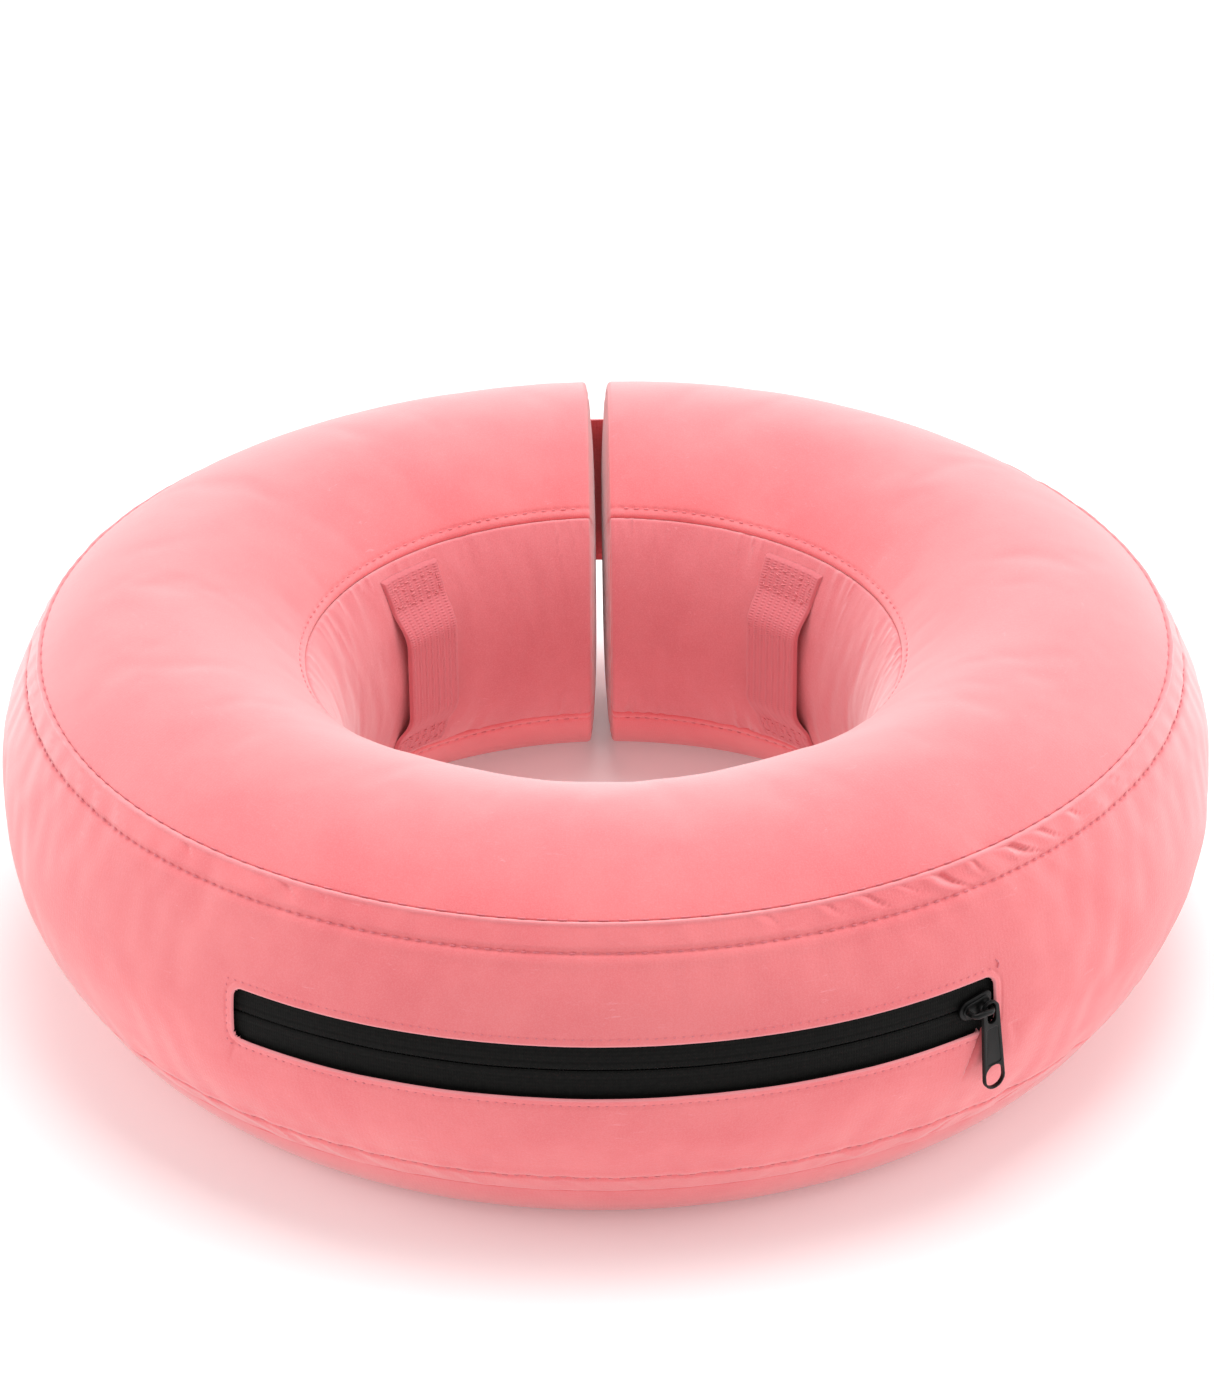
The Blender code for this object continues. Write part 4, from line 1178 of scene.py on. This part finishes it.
SLIDER_ANGLE = math.radians(33.2)
SLIDER_HALF = 4.9 * MM
SLIDER_WIDE = 4.1 * MM
SLIDER_TAIL = 2.9 * MM
SLIDER_FACE_R = 174.5 * MM
SLIDER_BACK_R = 169.55 * MM
SLIDER_POST_R = 171.8 * MM
ARCH_R = 177.8 * MM
ARCH_HALF = 3.2 * MM
ARCH_CORNER = 1.3 * MM
TAB_R = 176.0 * MM
TAB_LEAN = math.radians(5.5)
TAB_FOOT = 22.9 * MM
TAB_CROWN_HALF = 2.7 * MM
TAB_FOOT_HALF = 3.45 * MM
TAB_HOLE_HALF = 2.8 * MM
TAB_CORE = 0.8 * MM
TAB_RIM = 0.5 * MM


def shield(inset):
    """The slider's plan: wide where the coils part, narrow and round at its tail."""
    half, wide, tail = SLIDER_HALF - inset, SLIDER_WIDE - inset, SLIDER_TAIL - inset
    corner = 1.5 * MM
    points = circle_arc((half - corner, wide - corner), corner, 0, math.pi / 2, 8)
    points += circle_arc((-half + tail * 0.8, 0), tail, math.pi / 2 + 0.15, 3 * math.pi / 2 - 0.15, 18)
    points += circle_arc((half - corner, -wide + corner), corner, -math.pi / 2, 0, 8)
    return points


def slider_frame():
    """Maps (along the zip, up, outwards) to the row frame at the slider, from the ring's axis."""
    a = SLIDER_ANGLE
    along = (math.cos(a), math.sin(a), 0)
    out = (math.sin(a), -math.cos(a), 0)
    rows = [[along[i], (0, 0, 1)[i], out[i], (0, 0, ZIP_Z)[i]] for i in range(3)]
    return Matrix([*rows, [0, 0, 0, 1]])


def zip_slider():
    """A cast slider: domed face plate with turned edges, back plate, post and the tab's bridge."""
    post = [(x * MM, y * MM) for x, y in ((-1.4, -0.18), (1.4, -0.18), (1.4, 0.18), (-1.4, 0.18))]
    plates = (
        (shield(0), 1.2 * MM, 0.35 * MM, SLIDER_FACE_R - 0.8 * MM),
        (shield(0.9 * MM), 0.6 * MM, 0.25 * MM, SLIDER_FACE_R - 0.05 * MM),
        (shield(0.3 * MM), 0.9 * MM, 0.2 * MM, SLIDER_BACK_R),
        (post, 4.2 * MM, 0.05 * MM, SLIDER_POST_R),
    )
    parts = [(plate([edge], deep, bevel), Matrix.Translation((0, 0, r))) for edge, deep, bevel, r in plates]
    bend = circle_arc((ARCH_HALF - ARCH_CORNER, ARCH_R - ARCH_CORNER), ARCH_CORNER, 0, math.pi / 2, 8)
    half = [(ARCH_HALF, SLIDER_FACE_R - 0.3 * MM), *bend]
    path = np.array([(x, 0, y) for x, y in half] + [(-x, 0, y) for x, y in reversed(half)])
    broad = 0.72 * MM + 0.55 * MM * bump(path[:, 0], 1.9 * MM)
    broad[0] = broad[-1] = 0.9 * MM
    side = np.array([(0, 1, 0)]) * broad[:, None]
    up = np.cross(unit(np.gradient(path, axis=0)), (0, 1, 0)) * 0.70 * MM
    parts.append((mesh_from(*sweep(path, side, up, 16)), Matrix()))
    slider = join_meshes("zip_slider_casting", [(mesh, slider_frame() @ at) for mesh, at in parts], ENAMEL)
    stand_for(slider, "zip_slider", "zip_slider")


def long_hole(top, top_radius, low, low_radius, count):
    """A closed outline of two half circles, the upper and the lower, on the tab's middle line."""
    crown = circle_arc((0, top), top_radius, 0, math.pi, count)
    return crown + circle_arc((0, low), low_radius, math.pi, 2 * math.pi, count)


def pull_tab():
    """The pull: an eye at the top, a sunk flat grip with a raised edge, and a long hole at the foot."""
    crown, foot, corner = -0.7 * MM, -TAB_FOOT, 0.9 * MM
    eye = long_hole(0, 1.5 * MM, -3.6 * MM, 1.4 * MM, 12)
    hole = long_hole(foot + 1.4 * MM, TAB_HOLE_HALF, foot, TAB_HOLE_HALF, 16)
    grip = []
    for turns, (x, y) in enumerate(((1.0, -7.3), (-1.0, -7.3), (-1.5, 5.6), (1.5, 5.6))):
        place = (x * MM, y * MM if y < 0 else foot + y * MM)
        grip += circle_arc(place, corner, turns * math.pi / 2, (turns + 1) * math.pi / 2, 6)

    def outline(inset):
        end = circle_arc((0, foot), TAB_FOOT_HALF - inset, math.pi, 2 * math.pi, 24)
        return circle_arc((0, crown), TAB_CROWN_HALF - inset, 0, math.pi, 20) + end

    parts = [(plate([outline(0.15 * MM), eye, hole], TAB_CORE, 0.1 * MM), Matrix())]
    for side in (-1, 1):
        rim = plate([outline(0), eye, hole, grip], TAB_RIM, 0.2 * MM)
        parts.append((rim, Matrix.Translation((0, 0, side * 0.35 * MM))))
    lean = Matrix.Rotation(TAB_LEAN, 4, "Z")
    place = slider_frame() @ Matrix.Translation((ARCH_HALF, 0, TAB_R)) @ lean
    tab = join_meshes("pull_tab_casting", [(mesh, place @ at) for mesh, at in parts], TAB_METAL)
    stand_for(tab, "pull_tab", "pull_tab")


# ---------------------------------------------------------------- back closure and neck loops


PAD_EDGE = 0.12 * MM


def pad(name, surface, outward, a, b, edge, thickness, round_over, material, scale=(1, 1), detail=None):
    """A closed soft sheet lying on a surface, with rounded edges; edge(a, b) is the distance to them."""
    a, b = np.meshgrid(a, b)
    distance = edge(a, b)
    up = unit(outward(a, b))
    height = PAD_EDGE + (thickness - PAD_EDGE) * rounded_edge(distance, round_over)
    if detail is not None:
        height = height + detail(a, b, distance)
    grid = surface(a, b) + up * height[..., None]
    normals = grid_normals(grid, up).reshape(-1, 3)
    uv = np.stack([a * scale[0], b * scale[1]], -1).reshape(-1, 2)
    faces, up = grid_faces(numbered(*a.shape)), up.reshape(-1, 3)
    made = shell(name, grid.reshape(-1, 3), up, faces, height.ravel(), material, uv)
    both = np.concatenate([normals, -up])
    made.data.normals_split_custom_set_from_vertices(both.astype(np.float32))
    return made


STRAP_HALF = 25 * MM
STRAP_CORNER = 7 * MM
STRAP_ROOT = math.radians(186.9)

# Azimuths between which each strip at the back lies
ANCHOR_ENDS = np.radians([187.2, 198.0])
LOOP_PATCH_ENDS = np.radians([163.5, 177.4])
HOOK_PATCH_ENDS = np.radians([166.2, 176.8])
STRAP_ENDS = np.radians([165.5, 187.0])
STRAP_BEND_END = math.radians(182.6)
QUILT_ROW = math.radians(177.3)


def over_band(azimuth, y, lift):
    """A point above the outer wall at the back, y metres down from its widest line."""
    s = BAND_MIDDLE_S + y
    return stand_off(azimuth, s, lift + band_swell(azimuth, s))


def over_band_out(azimuth, y):
    return OUTLINE.outward(azimuth, BAND_MIDDLE_S + y)


def strap_lift(azimuth):
    """The strap stands over the patches and comes down to the wall where it is sewn on."""
    fall = smoothstep((azimuth - (STRAP_ROOT - math.radians(2.6))) / math.radians(2.4))
    return (2.35 - 1.75 * fall) * MM


def strip_width(azimuth, end, inward, half):
    """Half width of a strip whose end has rounded corners; inward is +1 when it grows with azimuth."""
    d = np.clip((azimuth - end) * inward * OUTER_R / STRAP_CORNER, 0, 1)
    return half - STRAP_CORNER * (1 - np.sqrt(np.maximum(1 - (1 - d) ** 2, 0)))


def band_strip(name, ends, half, lift, thickness, material, rounded="low", detail=None):
    """A strip on the outer wall between two azimuths, and its top for the stitches."""
    low, high = ends
    span = (high - low) * OUTER_R
    a = low + graded(0, span, [0, span], 1.1 * MM, 0.16 * MM, 3 * MM) / OUTER_R
    v = graded(-1, 1, [-1, 1], 0.045, 0.008, 0.1)
    end, inward = (low, 1) if rounded == "low" else (high, -1)

    def level(azimuth):
        return lift(azimuth) if callable(lift) else lift

    def surface(azimuth, across):
        return over_band(azimuth, across * strip_width(azimuth, end, inward, half), level(azimuth))

    def outward(azimuth, across):
        return over_band_out(azimuth, across * strip_width(azimuth, end, inward, half))

    def edge(azimuth, across):
        ends_near = np.minimum(azimuth - low, high - azimuth) * OUTER_R
        return np.minimum(ends_near, (1 - np.abs(across)) * strip_width(azimuth, end, inward, half))

    def top(azimuth, y):
        return over_band(azimuth, y, level(azimuth) + thickness)

    scale = (OUTER_R, half)
    made = pad(name, surface, outward, a, v, edge, thickness, 0.55 * thickness, material, scale, detail)
    return made, Surface(top, over_band_out, (SMALL / OUTER_R, SMALL))


def rectangle(low, high, half):
    return [(low, -half), (high, -half), (high, half), (low, half), (low, -half)]


def strap_detail(a, b, distance):
    """A stitched margin, then a barely quilted middle."""
    groove = -0.16 * MM * bump(distance - 3.0 * MM, 0.7 * MM)
    return groove + 0.10 * MM * smooth_noise(a / (2 * math.pi), b * 3 + 9, 150, 91)


def closure():
    """The strap that bridges the back opening, its sewn root, and the two halves of its fastener."""
    inner = STRAP_HALF - 3 * MM

    def sewn(name, top, *paths):
        runs = sum((path_runs(path, ROUND) for path in paths), [])
        return stitches(name, top, runs, THREAD, WEBBING_STITCH[1])

    name = "strap_anchor_webbing"
    anchor, top = band_strip(name, ANCHOR_ENDS, STRAP_HALF, 0.3 * MM, 1.3 * MM, STRAP, "high", strap_detail)
    stand_for(anchor, "strap_anchor", "left_arm")
    low, high = ANCHOR_ENDS + np.radians([1, -1])
    cross = [(low, -inner), (high, inner)], [(low, inner), (high, -inner)]
    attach(sewn("strap_anchor_thread", top, rectangle(low, high, inner), *cross), "left_arm")

    half = STRAP_HALF - 1 * MM
    patch, top = band_strip("loop_patch_pile", LOOP_PATCH_ENDS, half, 0.3 * MM, 0.75 * MM, PILE)
    stand_for(patch, "loop_patch", "right_arm")
    low, high = LOOP_PATCH_ENDS + np.radians([0.5, -0.5])
    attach(sewn("loop_patch_thread", top, rectangle(low, high, half - 1.6 * MM)), "right_arm")

    half = STRAP_HALF - 2 * MM
    hook, _ = band_strip("hook_patch_hooks", HOOK_PATCH_ENDS, half, 1.35 * MM, 0.75 * MM, HOOKS)
    stand_for(hook, "hook_patch", "closure_strap")

    name = "closure_strap_webbing"
    strap, top = band_strip(name, STRAP_ENDS, STRAP_HALF, strap_lift, 1.0 * MM, STRAP, detail=strap_detail)
    low, high = STRAP_ENDS[0] + 3 * MM / OUTER_R, STRAP_ENDS[1] - math.radians(0.2)
    corner = 4 * MM
    around = [(high, -inner)]
    for t in np.linspace(0, math.pi / 2, 7):
        around.append((low + corner * (1 - math.sin(t)) / OUTER_R, corner * (1 - math.cos(t)) - inner))
    around += [(x, -y) for x, y in reversed(around)]
    threads = sewn("closure_strap_thread", top, around, [(QUILT_ROW, -inner), (QUILT_ROW, inner)])
    root, free = (tuple(over_band(a, 0.0, strap_lift(a))) for a in (STRAP_ENDS[1], STRAP_BEND_END))
    for piece in (strap, threads):
        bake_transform(piece)
    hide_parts("closure_strap")


LOOP_HALF = 10 * MM
LOOP_FLAT_R = 72.5 * MM
LOOP_FOOT = 31 * MM
LOOP_THICK = 1.35 * MM
LOOP_ROWS = (22.5 * MM, 28.5 * MM)


def lining_s(z):
    """Distance along the outline at a height on the neck lining, which runs upwards."""
    part = OUTLINE.s >= OUTLINE.neck_low
    return np.interp(z, OUTLINE.points[part, 1], OUTLINE.s[part])


def neck_loop(name, azimuth, body):
    """Webbing sewn down above and below, standing off the lining between for a collar to pass."""

    def turned(x):
        return azimuth + x / (NECK_R - 2 * MM)

    def surface(x, z):
        around = turned(x)
        wall = skin("neck_lining", around, lining_s(z), 0.2 * MM)
        wall_r = np.hypot(wall[..., 0], wall[..., 1])
        flat_r = LOOP_FLAT_R / np.cos(around - azimuth)
        share = smoothstep((np.abs(z) - 11.5 * MM) / (11.0 * MM))
        return polar(flat_r + (wall_r - flat_r) * share, around, z)

    def outward(x, z):
        return polar(-1.0, turned(x), 0 * z)

    def edge(x, z):
        return np.minimum(LOOP_HALF - np.abs(x), LOOP_FOOT - np.abs(z))

    def detail(x, z, distance):
        ribs = 0.07 * MM * np.cos(2 * math.pi * x / (1.25 * MM)) * np.clip(distance / (1 * MM), 0, 1)
        row = np.minimum(*(np.abs(np.abs(z) - level) for level in LOOP_ROWS))
        return ribs - 0.12 * MM * bump(row, 0.6 * MM)

    def top(x, z):
        return surface(x, z) + outward(x, z) * LOOP_THICK

    across = np.linspace(-LOOP_HALF, LOOP_HALF, 97)
    down = graded(-LOOP_FOOT, LOOP_FOOT, [-LOOP_FOOT, LOOP_FOOT], 1.0 * MM, 0.16 * MM, 2.5 * MM)
    loop = pad(
        f"{name}_webbing", surface, outward, across, down, edge, LOOP_THICK, 0.6 * MM, WEBBING, detail=detail
    )
    stand_for(loop, name, body)
    half = LOOP_HALF - 1.8 * MM
    runs = []
    for side in (-1, 1):
        low, high = side * LOOP_ROWS[0], side * LOOP_ROWS[1]
        for path in (
            [(-half, low), (half, low), (half, high), (-half, high), (-half, low)],
            [(-half, low), (half, high)],
            [(-half, high), (half, low)],
        ):
            runs += path_runs(path, (1, 1))
    sewn_top = Surface(top, outward, (SMALL, SMALL))
    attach(stitches(f"{name}_thread", sewn_top, runs, FAINT_THREAD, WEBBING_STITCH[1], 0.2 * MM), body)


PANELS = {"top_panel": COVER, "side_band": COVER, "bottom_panel": COVER, "neck_lining": LINING}
END_RISE = 2.1 * MM


def end_ring(side):
    """The cover's edge at the back opening, as one closed ring of points."""
    rings = []
    for panel, low, high in zip(PANELS, OUTLINE.marks, OUTLINE.marks[1:]):
        s = np.linspace(low, high, 121)[:-1]
        rings.append(skin(panel, np.full_like(s, side * math.pi), s))
    return np.concatenate(rings)


def end_panel(name, side):
    """The cloth that closes the tube at the back: a shallow pillow gathered into its rim."""
    ring = end_ring(side)
    centre = np.array([0, CROWN_R, 0])
    spokes = ring - centre
    shares = graded(0.04, 1.0, [1.0], 0.05, 0.006, 0.3)
    share, along = np.meshgrid(shares, np.linspace(0, 1, len(ring), endpoint=False), indexing="ij")
    distance = (1 - share) * np.linalg.norm(spokes[:, 1:], axis=1)
    gather = puckers(along * 2 * math.pi * 0.36, 0 * along, 8 * MM, 0, 97)
    rise = END_RISE * (1 - share**4) - 0.8 * MM * (1 - rounded_edge(distance, 1.3 * MM))
    rise = rise - 0.18 * MM * bump(distance - 3.2 * MM, 0.8 * MM)
    rise = rise + 0.35 * MM * gather * bump(distance - 4 * MM, 4 * MM) * share
    grid = centre + spokes * (share * 0.997)[..., None]
    grid[..., 0] = side * (SPLIT_X - rise)
    inwards = np.array([-side, 0.0, 0.0])
    normals = grid_normals(np.concatenate([grid, grid[:, :1]], 1), inwards)
    normals[:, 0] = (normals[:, 0] + normals[:, -1]) / 2
    normals = np.concatenate([normals[:, :-1].reshape(-1, 3), [inwards]])
    hub = np.array([side * (SPLIT_X - END_RISE), CROWN_R, 0.0])
    points = np.concatenate([grid.reshape(-1, 3), [hub]])
    faces = closed_faces(*share.shape, across=1)
    inner = np.arange(len(ring))
    centres = np.full(len(ring), len(points) - 1)
    fan = np.stack([inner, centres, np.roll(inner, -2), np.roll(inner, -1)], 1)[::2]
    if turned_out(points, fan, normals) != turned_out(points, faces, normals):
        fan = fan[:, ::-1]
    faces = np.concatenate([faces, fan])
    panel = shell(f"{name}_cloth", points, normals, faces, CLOTH, COVER, points[:, 1:])
    stand_for(panel, name, "left_arm" if side < 0 else "right_arm")


# ---------------------------------------------------------------- bladder

BLADDER_R = 123 * MM
BLADDER_HALF = (44.6 * MM, 52.4 * MM)
BLADDER_END = 5.4 * MM
BLADDER_FILM = 0.7 * MM
VALVE_HOLE_R = 16.3 * MM


def bladder(section):
    """The welded vinyl tube: faint creases by its two weld lines, closed by a flat disc at each end."""
    columns = section_columns("bladder", section)
    a, t = np.meshgrid(columns, np.linspace(0, 2 * math.pi, 193))
    weld = np.abs(np.sin(t))
    crease = smooth_noise(a / (2 * math.pi), t * 3, 140, 17) * bump(weld, 0.35)
    lift = -0.5 * MM * bump(weld, 0.05) + 0.35 * MM * crease - 0.35 * MM
    r = BLADDER_R + (BLADDER_HALF[0] + lift) * np.cos(t)
    grid = polar(r, split_shift(a, r, BLADDER_END), (BLADDER_HALF[1] + lift) * np.sin(t))
    if section != "front":
        rim = grid[:, 0 if section == "left" else -1]
        centre = np.array([rim[0, 0], BLADDER_R, 0])
        caps = np.stack([centre + (rim - centre) * f for f in (0.985, 0.95, 0.8, 0.5, 0.2, 0.03)], 1)
        grid = np.concatenate([caps[:, ::-1], grid] if section == "left" else [grid, caps], 1)
    spine = polar(BLADDER_R, np.arctan2(grid[..., 0], -grid[..., 1]), 0.0)
    normals = grid_normals(grid, grid - spine)[:-1].reshape(-1, 3)
    faces = closed_faces(len(grid) - 1, grid.shape[1], down=1)
    points = grid[:-1].reshape(-1, 3)
    if section == "front":
        middle = points[faces].mean(1)
        off_axis = np.hypot(middle[:, 0], middle[:, 2])
        faces = faces[(off_axis > VALVE_HOLE_R) | (middle[:, 1] > -BLADDER_R)]
    made = shell(f"bladder_{section}_tube", points, normals, faces, BLADDER_FILM, VINYL, points[:, :2])
    bend_with(made, section)
    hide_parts(f"bladder_{section}")


# ---------------------------------------------------------------- cover

for panel_name, cloth in PANELS.items():
    for section_name in SECTIONS:
        panel_mesh(panel_name, section_name, cloth)

seam_threads()
zip_border_thread()
zip_tapes()
zip_coils()
zip_slider()
pull_tab()
closure()
for loop_name, loop_angle, loop_body in (
    ("collar_loop_front_left", -45, "front_section"),
    ("collar_loop_front_right", 45, "front_section"),
    ("collar_loop_back_left", -135, "left_arm"),
    ("collar_loop_back_right", 135, "right_arm"),
):
    neck_loop(loop_name, math.radians(loop_angle), loop_body)
end_panel("end_panel_left", -1)
end_panel("end_panel_right", 1)
for section_name in SECTIONS:
    bladder(section_name)

for node in ("valve_body", "valve_plug", "valve_flap", "zip_top_stop", "zip_bottom_stop"):
    looks = frame["nodes"][node].data.materials
    looks.clear()
    looks.append(VALVE if node.startswith("valve") else ENAMEL)


# ---------------------------------------------------------------- stage, light and camera


FLOOR_SIZE = 12
FLOOR_GLOW = 0.17
WORLD_LIGHT = 0.42
WORLD_SEEN = 0.95


def make_stage():
    """A pale floor, clear from below so that the collar's underside can be seen, and a pale backdrop."""
    bpy.ops.mesh.primitive_plane_add(size=FLOOR_SIZE, location=(0, 0, REST_Z - 0.6 * MM))
    floor = bpy.context.object
    floor.name = "studio_floor"
    n = Nodes("pale_floor")
    beneath = n.add("ShaderNodeNewGeometry").outputs["Backfacing"]
    floor_look = {
        "Base Color": (0.94, 0.94, 0.94, 1),
        "Roughness": 0.9,
        "Emission Color": (1, 1, 1, 1),
        "Emission Strength": FLOOR_GLOW,
        "Alpha": n.math("SUBTRACT", 1.0, beneath),
    }
    for name, value in floor_look.items():
        n.feed(n.shader.inputs[name], value)
    floor.data.materials.append(n.material)
    world = bpy.data.worlds.new("studio")
    world.use_nodes = True
    tree = world.node_tree
    backdrop = tree.nodes["Background"]
    backdrop.inputs["Color"].default_value = (1, 0.99, 0.985, 1)
    seen = tree.nodes.new("ShaderNodeLightPath").outputs["Is Camera Ray"]
    strength = tree.nodes.new("ShaderNodeMapRange")
    strength.inputs["To Min"].default_value = WORLD_LIGHT
    strength.inputs["To Max"].default_value = WORLD_SEEN
    tree.links.new(seen, strength.inputs["Value"])
    tree.links.new(strength.outputs["Result"], backdrop.inputs["Strength"])
    bpy.context.scene.world = world


# Each softbox: where it stands, its size in metres and its power in watts. All of them face the ring
SOFTBOXES = {
    "top_softbox": ((0.1, 0.1, 1.3), (1.0, 0.9), 14.5),
    "key_softbox": ((-0.5, -1.2, 1.1), (0.6, 0.6), 0.9),
    "left_softbox": ((-1.2, -0.1, 0.5), (0.8, 0.8), 5),
    "right_softbox": ((1.2, -0.1, 0.5), (0.8, 0.8), 5),
}


def make_softboxes():
    """Soft area lights from above, the front and both sides."""
    for name, (place, size, power) in SOFTBOXES.items():
        light = bpy.data.lights.new(name, "AREA")
        light.shape = "RECTANGLE"
        light.size, light.size_y = size
        light.energy = power
        holder = linked(name, light)
        holder.location = place
        holder.rotation_euler = (-Vector(place)).to_track_quat("-Z", "Y").to_euler()


CAMERA_DISTANCE = 1.3
CAMERA_ELEVATION = math.radians(29.63)
CAMERA_AZIMUTH = math.radians(-0.65)
CAMERA_ROLL = math.radians(-0.54)
CAMERA_LENS = 115.35
CAMERA_SHIFT = (0.0012, 0.0417)


def make_camera():
    """The camera at the photo's angle, aimed by its lens shift."""
    camera = bpy.data.cameras.new("camera")
    camera.lens = CAMERA_LENS
    camera.shift_x, camera.shift_y = CAMERA_SHIFT
    holder = linked("camera", camera)
    level, height = math.cos(CAMERA_ELEVATION), math.sin(CAMERA_ELEVATION)
    place = Vector((level * math.sin(CAMERA_AZIMUTH), -level * math.cos(CAMERA_AZIMUTH), height))
    place *= CAMERA_DISTANCE
    look = (-place).to_track_quat("-Z", "Y").to_matrix()
    holder.location = place
    holder.rotation_euler = (look @ Matrix.Rotation(CAMERA_ROLL, 3, "Z")).to_euler()
    bpy.context.scene.camera = holder


bpy.context.scene.view_settings.view_transform = "Standard"
make_stage()
make_softboxes()
make_camera()
